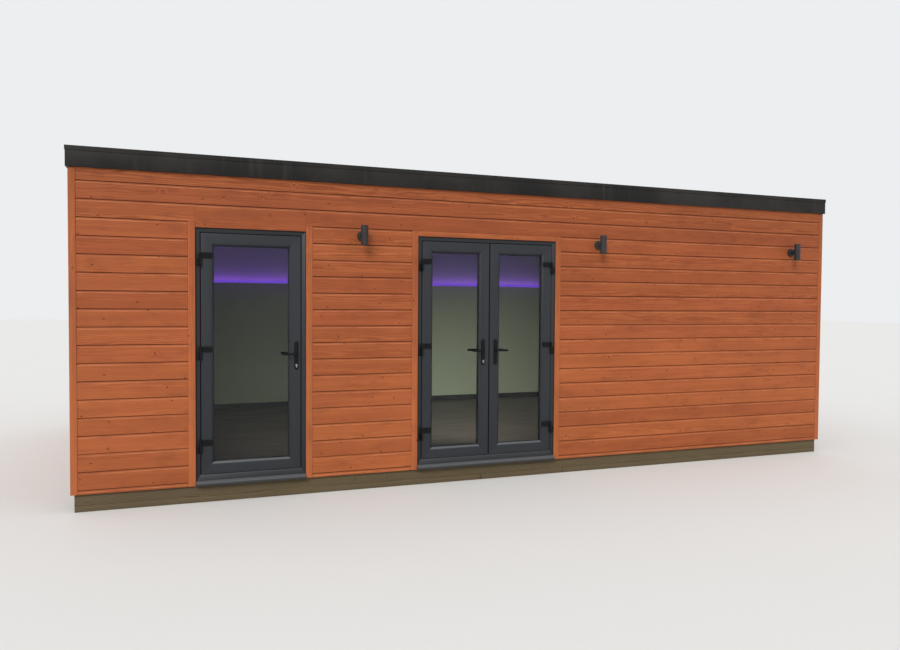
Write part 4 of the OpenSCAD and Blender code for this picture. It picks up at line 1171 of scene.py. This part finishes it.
# The leaves, by the start of their nodes' and bodies' names; the right one hangs on its right side
LEAVES = ("single", "left", "right")
# Tone of the light that a pane lets through
GLASS = (0.93, 0.96, 0.95)


class POD_OT_doors(Operator):
    """Makes the foiled frames, sills and leaves with their beads, gaskets and sealed glass"""
    bl_idname = "pod.doors"
    bl_label = "Door frames and leaves"

    def execute(self, context):
        s = settings("doors")
        foil = finish("anthracite_foil", foiled_profile, s.foil, s.pale, s.dust)
        sill_foil = finish("sill_foil", foiled_profile, s.sill, s.pale, s.dust)
        rubber = finish("gasket_rubber", moulded, s.rubber, s.rubber_dust, 0.55, 0.15)
        frame_foil = finish("frame_foil", foiled_profile, s.frame_foil, s.frame_pale, s.dust)
        sills = Shape()
        for kind in ("single", "double"):
            self.frame(kind + "_door_frame", s, frame_foil, rubber)
        for kind in ("single", "double"):
            self.sill(sills, s, *corners(kind + "_door_frame"))
        sills.piece("sill_profiles", sill_foil, "door_profile", ["door_sills"])
        for side in LEAVES:
            self.leaf(side, s, foil, rubber)
        return {"FINISHED"}

    def frame(self, node, s, foil, rubber):
        """One outer frame: a rebated profile, mitred round the opening, with a bulb gasket on its stop.

        A bead of sealant closes the joint between the frame and the trims at the sides and the head.
        Its black rubber is partly painted shade for the gap there.
        """
        low, high = corners(node)
        f, stop, deep = s.frame_face, s.frame_face + s.stop, high[1] - low[1]
        outline = np.array([
            [0.0, 0.002], [0.002, 0.0], [f - 0.0035, 0.0], [f - 0.001, 0.001], [f, 0.0035],
            [f, deep - 0.013], [stop - 0.006, deep - 0.013], [stop - 0.006, deep - 0.0115],
            [stop - 0.001, deep - 0.0115], [stop, deep - 0.0105], [stop, deep - 0.001], [stop - 0.001, deep],
            [0.0, deep]])
        made = Shape()
        mitred(made, node, outline, s.frame_bottom)
        made.piece(node + "_profile", foil, "door_profile", [node])
        seal = Shape()
        mitred(seal, node, arc((stop - 0.0035, deep - 0.0140), 0.0022, 0, 315, 8), s.frame_bottom)
        seal.piece(node + "_gasket", rubber, "door_profile")
        # The sealant's black is partly painted shade for the gap between the frame and the trims
        sealant = Shape()
        wide, tall = s.sealant, 0.006
        bead = np.array([[0.0, 0.0], [0.0, -tall], [0.3 * wide, -0.5 * tall], [wide, 0.0]])
        carry(sealant, 2, bead + low[:2], low[2], high[2])
        carry(sealant, 2, bead * [-0.4, 1.0] + [high[0], low[1]], low[2], high[2])
        carry(sealant, 0, bead[:, ::-1] * [1.0, -0.9] + [low[1], high[2]], low[0], high[0])
        sealant.piece(node + "_sealant", rubber, "door_profile")

    def sill(self, shape, s, first, last):
        """A sill carried along X, with end caps: a rounded nose, a sloping top and a drip groove.

        The top runs tangent to the nose: its slope is atan(rise / run) - asin(r / distance).
        """
        low, high = corners("door_sills")
        r, cap, groove = s.sill_round, 0.0024, 0.003
        nose = low[1] + r
        level = low[2] + s.sill_face - r
        run, rise = first[1] - nose, high[2] - level
        slope = math.degrees(math.atan2(rise, run) - math.asin(r / math.hypot(run, rise)))
        front = np.concatenate([arc((nose, low[2] + r), r, 270, 180, 5),
                                arc((nose, level), r, 180, 90 + slope, 5)])
        outline = np.concatenate([front, [[first[1], high[2]], [last[1], high[2]], [last[1], low[2]]],
                                  arc((nose + r - groove, low[2]), groove, 0, 180, 7)])
        carry(shape, 0, outline, first[0] + cap / 2, last[0] - cap / 2)
        end = np.concatenate([front, [[first[1], high[2] - FIT], [first[1], low[2]]]])
        for start in (first[0], last[0] - cap):
            carry(shape, 0, inset(end, -0.0006).clip([low[1], low[2]], None), start, start + cap, 0.0006)

    def leaf(self, side, s, foil, rubber):
        """One leaf: mitred profile with a sloping bead outside and in, gaskets, two panes and a spacer."""
        name, body = side + "_door", side + "_leaf"
        low, high = corners(name + "_leaf")
        deep = high[1] - low[1]
        flat, edge = s.stile, s.stile + s.bead
        outline = np.array([
            [0.0, 0.003], [0.0009, 0.0009], [0.003, 0.0], [flat - 0.0026, 0.0], [flat - 0.0018, 0.0012],
            [flat - 0.0006, 0.0012], [flat + 0.0006, 0.0004], [flat + 0.004, 0.0022],
            [flat + 0.009, 0.0054], [edge - 0.001, 0.0105], [edge, 0.012], [edge, 0.0162],
            [edge - 0.014, 0.0162], [edge - 0.014, deep - 0.0085], [edge, deep - 0.0085],
            [edge, deep - 0.006], [edge - 0.002, deep - 0.0045], [flat + 0.004, deep - 0.0004],
            [flat + 0.003, deep], [0.003, deep], [0.0009, deep - 0.0009], [0.0, deep - 0.003]])
        profile = Shape()
        mitred(profile, name + "_leaf", outline)
        profile.piece(name + "_profile", foil, "door_profile", [name + "_leaf"], body)
        seals = Shape()
        for lip in ([[-0.012, 0.0164], [-0.0002, 0.0150], [0.0026, 0.0172], [0.0026, 0.0179],
                     [-0.012, 0.0179]],
                    [[-0.012, deep - 0.0099], [0.0024, deep - 0.0099], [0.0024, deep - 0.0092],
                     [-0.0002, deep - 0.0072], [-0.012, deep - 0.0086]]):
            mitred(seals, name + "_leaf", np.array(lip) + [edge, 0.0])
        seals.piece(name + "_gaskets", rubber, "door_profile", body=body)
        first, last = corners(name + "_glass")
        glass = finish("pane_glass", clear_glass, GLASS)
        for place, y in (("outer", first[1]), ("inner", last[1] - s.pane)):
            pane = Shape()
            slab(pane, 1, (first[0], last[0]), (first[2], last[2]), y, y + s.pane, 0.002, 0.0006)
            pane.piece(name + "_" + place + "_pane", glass, "glass", [name + "_glass"], body)
        bar = Shape()
        mitred(bar, name + "_glass", rounded(0.0, 0.0165, s.pane, last[1] - first[1] - s.pane, 0.001))
        spacer = finish("spacer_bar", moulded, s.spacer, s.spacer_pale, 0.5, 0.1)
        bar.piece(name + "_spacer", spacer, "door_profile", body=body)


# Ironwork

def turning(body):
    """The place of the joint that a body turns on, from the record."""
    return next(np.array(joint["pos_m"]) for joint in frame["record"]["behaviour"]["joints"]
                if joint["child"] == body)


def knuckle(shape, centre, low, high, radius):
    """A hinge knuckle: a barrel with rounded ends."""
    lathe(shape, [(radius - 0.0012, low), (radius - 0.0003, low + 0.0004), (radius, low + 0.0014),
                  (radius, high - 0.0014), (radius - 0.0003, high - 0.0004), (radius - 0.0012, high)],
          centre, (0, 0, 1), 28)


class POD_OT_hardware(Operator):
    """Fits the flag hinges, handle plates, key cylinders and levers"""
    bl_idname = "pod.hardware"
    bl_label = "Hinges and handles"

    def execute(self, context):
        s = settings("hardware")
        black = finish("black_powder_coat", powder_coat, s.black, s.worn, 0.34)
        bases = Shape()
        for side in LEAVES:
            self.flags(side, bases, black, s)
            faces = [(corner[1], out) for corner, out in zip(corners(side + "_door_leaf"), (-1.0, 1.0))]
            self.plates(side, faces, black, s)
            self.levers(side, faces, black, s)
        bases.piece("hinge_frame_halves", black, "hardware", ["hinge_bases"])
        return {"FINISHED"}

    def flags(self, side, bases, black, s):
        """Flag hinges: the lower barrel and plate on the frame, the upper barrel and flag on the leaf.

        A flag has a round cap over each adjusting screw and a socket screw between them.
        """
        pin_x, pin_y, _ = turning(side + "_leaf")
        pin = (pin_x, pin_y, 0)
        seat = corners("single_door_frame")[0][1]
        flags, frames = Shape(), Shape()
        foot, head = (corner[2] for corner in corners("hinge_bases"))
        half = (head - foot) / 2 - s.hinge_pitch
        arm = np.array([[-0.009, 0.0], [0.0, 0.004], [-0.002, 0.018], [-0.009, 0.018]])
        flag = np.concatenate([
            arc((0.004, 0.006), 0.004, 180, 90, 3) + [-0.004, 0.004],
            [[0.088, 0.0139], [0.088, 0.009]],
            arc((0.085, 0.009), 0.003, 0, -90, 4)[1:],
            [[0.012, 0.006], [0.006, 0.001]]])
        cap = [(0.0084, -0.001), (0.0084, 0.0006), (0.0076, 0.0016), (0.0055, 0.0026), (0.002, 0.003)]
        socket = [(0.0052, -0.001), (0.0052, 0.0012), (0.0046, 0.0018), (0.003, 0.0018), (0.003, 0.0002),
                  (0.001, 0.0001)]
        for z in foot + half + s.hinge_pitch * np.arange(3):
            low, split, high = z - half, z + half - s.flag, z + half
            knuckle(frames, pin, low, split - 0.0002, s.barrel)
            knuckle(frames, pin, high - 0.003, high - 0.0002, s.barrel - 0.0012)
            carry(frames, 2, arm + pin[:2], low + 0.0015, split - 0.0015, 0.0008)
            slab(frames, 2, (pin_x - 0.032, pin_x - 0.004), (seat - 0.005, seat), low + 0.001, split - 0.001,
                 0.0016, 0.0014)
            knuckle(flags, pin, split + 0.0005, high - 0.0035, s.barrel)
            carry(flags, 2, flag + pin[:2], split + 0.001, high - 0.0005, 0.0014)
            for along, outline, steps in ((0.019, cap, 24), (0.061, cap, 24), (0.042, socket, 20)):
                lathe(flags, outline, (pin_x + along, pin_y + 0.006, high - 0.013), (0, -1, 0), steps)
            frames.copies(dome((0, -1, 0), 0.0042, 0.0016, 12),
                          [[pin_x - 0.020, seat - 0.005, z + d] for d in (-0.040, -0.004)])
        mirror = pin_x if side == "right" else None
        bases.include(frames, mirror)
        hung = Shape()
        hung.include(flags, mirror)
        hung.piece(side + "_door_flags", black, "hardware", [side + "_door_fittings"], side + "_leaf")

    def plates(self, side, faces, black, s):
        """A long plate with round ends on each face of the leaf, its screws, and the key cylinder if any."""
        x, _, z = turning(side + "_handle")
        keyed = side != "right"
        plates, keys = Shape(), Shape()
        middle, key_z = z - s.plate_drop, z - s.key_drop
        r = s.plate_round
        stadium = np.concatenate([arc((x, middle + s.plate / 2 - r), r, 0, 180, 17),
                                  arc((x, middle - s.plate / 2 + r), r, 180, 360, 17)])
        key = np.concatenate([arc((0, 0), 0.0085, -54, 234, 21), arc((0, -0.015), 0.005, 180, 360, 9)])
        for y, out in faces:
            raised(plates, stadium, y, out, [(0.0, 0.0), (0.006, 0.0), (0.0085, 0.0008), (0.0096, 0.0024),
                                             (0.01, 0.0045)])
            plates.copies(dome((0.0, out, 0.0), 0.0038, 0.0012, 12),
                          [[x, y + out * 0.0098, middle + d] for d in (-0.088, 0.088)])
            if keyed:
                raised(keys, key + [x, key_z], y, out, [(0.004, 0.0), (0.0122, 0.0), (0.013, 0.0008)])
                slab(plates, 1, about(x, 0.0009), about(key_z, 0.005),
                     *sorted((y + out * 0.012, y + out * 0.0132)), 0.0006, 0.0)
        plates.piece(side + "_door_plates", black, "hardware", body=side + "_leaf")
        if keyed:
            nickel = finish("cylinder_nickel", bright_metal, s.nickel, s.nickel_dull)
            keys.piece(side + "_door_key_cylinder", nickel, "hardware", body=side + "_leaf")

    def levers(self, side, faces, black, s):
        """A lever on each face: one sweep from the neck, round an elbow, along the grip to a curled end.

        Its section is a superellipse: (sign(cos t) |cos t|^p, sign(sin t) |sin t|^p).
        """
        x, _, z = turning(side + "_handle")
        toward = 1.0 if side == "right" else -1.0
        reach, bend, power = s.lever_reach, s.lever_bend, 0.72
        a = np.radians(np.linspace(0, 90, 9))
        grip = np.linspace(bend + 0.008, 0.1, 10)
        flat = np.concatenate([
            np.stack([np.zeros(3), [0.0118, 0.016, reach - bend]], 1),
            np.stack([bend * (1 - np.cos(a)), reach - bend + bend * np.sin(a)], 1)[1:],
            np.stack([grip, reach - 0.004 * np.sin((grip - bend) / 0.09 * np.pi / 2) ** 3], 1),
            [[0.106, reach - 0.0055], [0.1105, reach - 0.0085], [0.1118, reach - 0.0105]]])
        # Half widths and half heights of the bar at these lengths from the leaf
        lengths = [0, 0.02, 0.045, 0.08, 0.13, 0.142]
        d = np.concatenate([[0], np.cumsum(np.linalg.norm(np.diff(flat, axis=0), axis=1))])
        wide = np.interp(d, lengths, [0.0078, 0.0078, 0.0064, 0.0056, 0.0052, 0.0022])
        tall = np.interp(d, lengths, [0.0078, 0.0078, 0.0086, 0.0096, 0.0092, 0.0052])
        t = np.arange(24) * 2 * np.pi / 24
        round_off = np.stack([np.cos(t), np.sin(t)], 1)
        section = np.sign(round_off) * np.abs(round_off) ** power
        rose = [(0.0128, 0.0106), (0.0128, 0.0132), (0.0118, 0.0143), (0.0096, 0.0146)]
        made = Shape()
        for y, out in faces:
            lathe(made, rose, (x, y, z), (0.0, out, 0.0))
            path = np.stack([x + toward * flat[:, 0], y + out * flat[:, 1], np.full(len(flat), z)], 1)
            sweep(made, path, np.gradient(path, axis=0), (0, 0, 1), wide, tall, section)
        lathe(made, [(0.004, faces[0][0] - 0.02), (0.004, faces[1][0] + 0.02)], (x, 0, z), (0, 1, 0), 16)
        made.piece(side + "_door_levers", black, "hardware", [side + "_door_lever"], side + "_handle")


class POD_OT_lamps(Operator):
    """Hangs the up and down wall lamps"""
    bl_idname = "pod.lamps"
    bl_label = "Wall lamps"

    def execute(self, context):
        s = settings("hardware")
        metal = finish("lamp_powder_coat", powder_coat, s.lamp, s.lamp_worn, 0.42)
        low, high = corners("wall_lamps")
        wall = corners("front_cladding_right")[0][1]
        left = corners("left_cladding")[0][0]
        y, z = wall - s.lamp_stand, (low[2] + high[2]) / 2
        half, r, rim, plate = (high[2] - low[2]) / 2, s.lamp_radius, s.lamp_bore, s.lamp_plate
        tube = [(rim, half - 0.022), (rim, half - 0.001), (rim + 0.0008, half), (r - 0.0008, half),
                (r, half - 0.001), (r, -half + 0.001), (r - 0.0008, -half), (rim + 0.0008, -half),
                (rim, -half + 0.001), (rim, -half + 0.022)]
        lens = [(rim - 0.0002, half - 0.021), (rim - 0.0002, half - 0.017), (0.022, half - 0.0145),
                (0.012, half - 0.013), (0.004, half - 0.0125)]
        back = [(plate, 0.0), (plate, 0.014), (plate - 0.0015, 0.017), (plate - 0.004, 0.018), (0.02, 0.0185)]
        lamps, lenses = Shape(), Shape()
        for x in (low[0] + plate, left + s.lamp_middle, high[0] - plate):
            lathe(lamps, tube, (x, y, z), (0, 0, 1), 48)
            for way in (-1, 1):
                lathe(lenses, lens, (x, y, z), (0, 0, way), 40)
            lathe(lamps, back, (x, wall, z), (0, -1, 0), 48)
            slab(lamps, 1, about(x, 0.011), about(z, 0.017), y + 0.024, wall - 0.016, 0.004, 0.0)
            lamps.copies(dome((1, 0, 0), 0.003, 0.001, 10), [[x + 0.011, wall - 0.04, z]])
        lamps.piece("wall_lamp_bodies", metal, "lamp_metal", ["wall_lamps"])
        lenses.piece("wall_lamp_lenses", finish("lamp_lens", frosted, s.lens, s.lens_shade), "lamp_metal")
        return {"FINISHED"}


# Room

def dress(material, slot, *nodes):
    """Gives CAD nodes their material."""
    for node in nodes:
        made = frame["nodes"][node]
        made.data.materials.clear()
        made.data.materials.append(material)


class POD_OT_room(Operator):
    """Finishes the room, with its violet strip light on the rear wall, and the hidden structure"""
    bl_idname = "pod.room"
    bl_label = "Room"

    def execute(self, context):
        s = settings("room")
        dress(finish("wall_emulsion", painted_lining, s.wall, 0.8), "wall_lining", "front_wall_left",
              "front_wall_middle", "front_wall_right", "front_wall_header", "rear_wall", "left_wall",
              "right_wall")
        dress(finish("ceiling_emulsion", painted_lining, s.ceiling, 0.85), "lining", "ceiling")
        dress(finish("floor_planks", laminate, s.floor, s.floor_dark, s.floor_joint), "floor", "floor_deck")
        dress(finish("planed_softwood", bare_timber, s.deal, s.deal_dark, s.deal_knot, 0.4), "softwood",
              "roof_joists")
        dress(finish("strand_board", board_panel, s.strand, s.strand_dark), "softwood", "roof_deck")
        self.skirting(s)
        low, _ = corners("rear_wall")
        wall, z = low[1], low[2] + s.strip_height
        front, middle, top = wall - s.strip_reach, wall - 0.6 * s.strip_reach, z + s.strip_size
        start, stop = corners("left_wall")[1][0] + 0.002, s.strip_end
        metal = finish("light_rail", powder_coat, s.rail, s.rail_worn, 0.45)
        diffuser = finish("strip_diffuser", lit_strip, s.glow, s.edge_strength)
        tape = finish("strip_tape", lit_strip, s.glow, s.tape_strength)
        plate = 0.004
        for name, material, shorter, round_off, ease, bars in (
                ("light_rail", metal, 0.0, 0.001, 0.001, [
                    ((front + 0.004, wall), (z, z + plate)), ((wall - plate, wall), (z + 0.003, top)),
                    ((front + 0.0085, front + 0.011), (z + 0.003, top))]),
                ("light_rail_diffuser", diffuser, 0.002, 0.0025, 0.0, [((front, front + 0.008), (z, top))]),
                ("light_rail_tape", tape, 0.004, 0.001, 0.0, [
                    (about(middle, 0.006), (z + 0.0042, z + 0.008))])):
            strip = Shape()
            for y, heights in bars:
                slab(strip, 0, y, heights, start + shorter, stop - shorter, round_off, ease)
            strip.piece(name, material, "lamp_metal")
        return {"FINISHED"}

    def skirting(self, s):
        """Skirting boards on the walls: a board with a rounded top edge, carried along each wall."""
        boards = Shape()
        floor = corners("floor_deck")[1][2]
        x0, x1 = corners("left_wall")[1][0], corners("right_wall")[0][0]
        y0, y1 = corners("front_wall_right")[1][1], corners("rear_wall")[0][1]
        t, h, r = s.skirting_thick, s.skirting_high, 0.006
        section = np.concatenate([[[0.0, 0.0], [t, 0.0]], arc((t - r, h - r), r, 0, 90, 5), [[0.0, h]]])
        carry(boards, 0, section * [-1.0, 1.0] + [y1, floor], x0, x1)
        for x, way in ((x0, 1.0), (x1, -1.0)):
            carry(boards, 1, section * [way, 1.0] + [x, floor], y0 + t, y1 - t)
        single, double = corners("single_door_frame"), corners("double_door_frame")
        for start, stop in ((x0, single[0][0]), (single[1][0], double[0][0]), (double[1][0], x1)):
            carry(boards, 0, section + [y0, floor], start, stop)
        # The dark paint is the skirting's colour and partly painted shade at the foot of the walls
        dark = finish("skirting_paint", moulded, s.skirting, s.skirting_dust, 0.45, 0.1)
        boards.piece("skirting_boards", dark, "wall_lining")


# Stage

def link(context, name, data):
    """An object for some data, linked into the scene."""
    made = bpy.data.objects.new(name, data)
    context.scene.collection.objects.link(made)
    return made


class POD_OT_stage(Operator):
    """Sets the camera, the pale floor and the light"""
    bl_idname = "pod.stage"
    bl_label = "Stage"

    def execute(self, context):
        s = settings("stage")
        yaw, pitch, roll = s.yaw, s.pitch, s.roll
        ahead = np.array([math.sin(yaw) * math.cos(pitch), math.cos(yaw) * math.cos(pitch), math.sin(pitch)])
        right = np.array([math.cos(yaw), -math.sin(yaw), 0.0])
        up = np.cross(right, ahead)
        turned = math.cos(roll) * right + math.sin(roll) * up
        upright = math.cos(roll) * up - math.sin(roll) * right
        lens = bpy.data.cameras.new("pod_camera")
        lens.lens = s.lens
        lens.sensor_width = 36.0
        camera = link(context, "pod_camera", lens)
        matrix = np.eye(4)
        matrix[:3] = np.stack([turned, upright, -ahead, np.array(s.place)], 1)
        camera.matrix_world = Matrix(matrix.tolist())
        context.scene.camera = camera
        context.scene.view_settings.view_transform = "Standard"
        self.floor(context, s)
        self.surroundings(context, s)
        self.lamps(context, s)
        return {"FINISHED"}

    def floor(self, context, s):
        """A wide pale floor at the ground, slightly mottled, in two by two squares."""
        mesh = bpy.data.meshes.new("stage_floor")
        points = [(x, y, 0.0) for x in (-60.0, 0.0, 60.0) for y in (-60.0, 0.0, 60.0)]
        mesh.from_pydata(points, [], [(k, k + 3, k + 4, k + 1) for k in (0, 3, 1, 4)])
        mesh.materials.append(finish("stage_floor", pale_floor, s.floor, s.floor_shade))
        link(context, "stage_floor", mesh)

    def surroundings(self, context, s):
        """Even light from all round, and a pale backdrop for what the eye and the glass see."""
        world = bpy.data.worlds.new("pod_world")
        world.use_nodes = True
        context.scene.world = world
        tree = world.node_tree
        tree.nodes.clear()
        path = add(tree, "ShaderNodeLightPath").outputs
        seen = maths(tree, "MAXIMUM", path["Is Camera Ray"], path["Is Glossy Ray"])
        seen = maths(tree, "MAXIMUM", seen, path["Is Transmission Ray"])
        lit = add(tree, "ShaderNodeBackground", {"Color": s.sky, "Strength": s.sky_strength})
        shown = add(tree, "ShaderNodeBackground", {"Color": s.backdrop, "Strength": 1.0})
        both = add(tree, "ShaderNodeMixShader", {0: seen, 1: lit.outputs[0], 2: shown.outputs[0]})
        add(tree, "ShaderNodeOutputWorld", {"Surface": both.outputs[0]})

    def lamps(self, context, s):
        """A soft sun, a broad light overhead, daylight inside the doors and the strip's light on its wall."""
        key = self.lamp(context, "key_light", "SUN", s.sun_strength, angle=math.radians(24))
        key.data.color = (1.0, 0.965, 0.92)
        key.rotation_euler = (math.radians(54), 0.0, math.radians(-34))
        self.lamp(context, "sky_light", "SUN", s.above_strength, angle=math.radians(100))
        for kind, strength in (("single", s.single_daylight), ("double", s.double_daylight)):
            low, high = corners(kind + "_door_frame")
            place = ((low[0] + high[0]) / 2, high[1] + 0.45, low[2] + 0.85)
            self.panel(context, kind + "_daylight", (high[0] - low[0] - 0.2, 0.8), strength, place, 68, 80,
                       s.daylight_turn)
        room = settings("room")
        low, _ = corners("rear_wall")
        x0, x1 = corners("left_wall")[1][0], room.strip_end
        place = ((x0 + x1) / 2, low[1] - 0.30, low[2] + room.strip_height + 0.03)
        strip = self.panel(context, "strip_light", (x1 - x0, 0.04), s.strip_light, place, 135, 180)
        strip.data.color = room.glow

    def lamp(self, context, name, kind, energy, **options):
        """A lamp with its options."""
        data = bpy.data.lights.new(name, kind)
        data.energy = energy
        for option, value in options.items():
            setattr(data, option, value)
        return link(context, name, data)

    def panel(self, context, name, lengths, energy, place, tilt, spread, turn=0.0):
        """A soft lamp inside the room: straight down turned up by the tilt, and then sideways."""
        made = self.lamp(context, name, "AREA", energy, shape="RECTANGLE", size=lengths[0],
                         size_y=lengths[1], spread=math.radians(spread))
        made.location = place
        made.rotation_euler = (math.radians(tilt), 0.0, turn)
        return made


class POD_PT_panel(Panel):
    """Lists the pod's settings and the steps that make it"""
    bl_label = "Garden pod"
    bl_idname = "POD_PT_panel"
    bl_space_type = "VIEW_3D"
    bl_region_type = "UI"
    bl_category = "Garden pod"

    def draw(self, context):
        for operator in OPERATORS:
            self.layout.operator(operator.bl_idname)
        for name, group_class in SETTINGS.items():
            box = self.layout.box()
            box.label(text=name.capitalize())
            for key in group_class.__annotations__:
                box.prop(getattr(context.scene, "pod_" + name), key)


SETTINGS = {"cladding": CladdingSettings, "base": BaseSettings, "roof": RoofSettings, "doors": DoorSettings,
            "hardware": HardwareSettings, "room": RoomSettings, "stage": StageSettings}
OPERATORS = [POD_OT_stage, POD_OT_cladding, POD_OT_trims, POD_OT_base, POD_OT_roof, POD_OT_rainwater,
             POD_OT_doors, POD_OT_hardware, POD_OT_lamps, POD_OT_room]


def register():
    """Registers the settings, the operators and the panel."""
    for made in (*SETTINGS.values(), *OPERATORS, POD_PT_panel):
        bpy.utils.register_class(made)
    for name, group_class in SETTINGS.items():
        setattr(bpy.types.Scene, "pod_" + name, PointerProperty(type=group_class))


def unregister():
    """Takes back all that register did."""
    for name in SETTINGS:
        delattr(bpy.types.Scene, "pod_" + name)
    for made in (POD_PT_panel, *reversed(OPERATORS), *reversed(list(SETTINGS.values()))):
        bpy.utils.unregister_class(made)


def main():
    register()
    for operator in OPERATORS:
        kind, step = operator.bl_idname.split(".")
        getattr(getattr(bpy.ops, kind), step)()


if __name__ == "__main__":
    main()
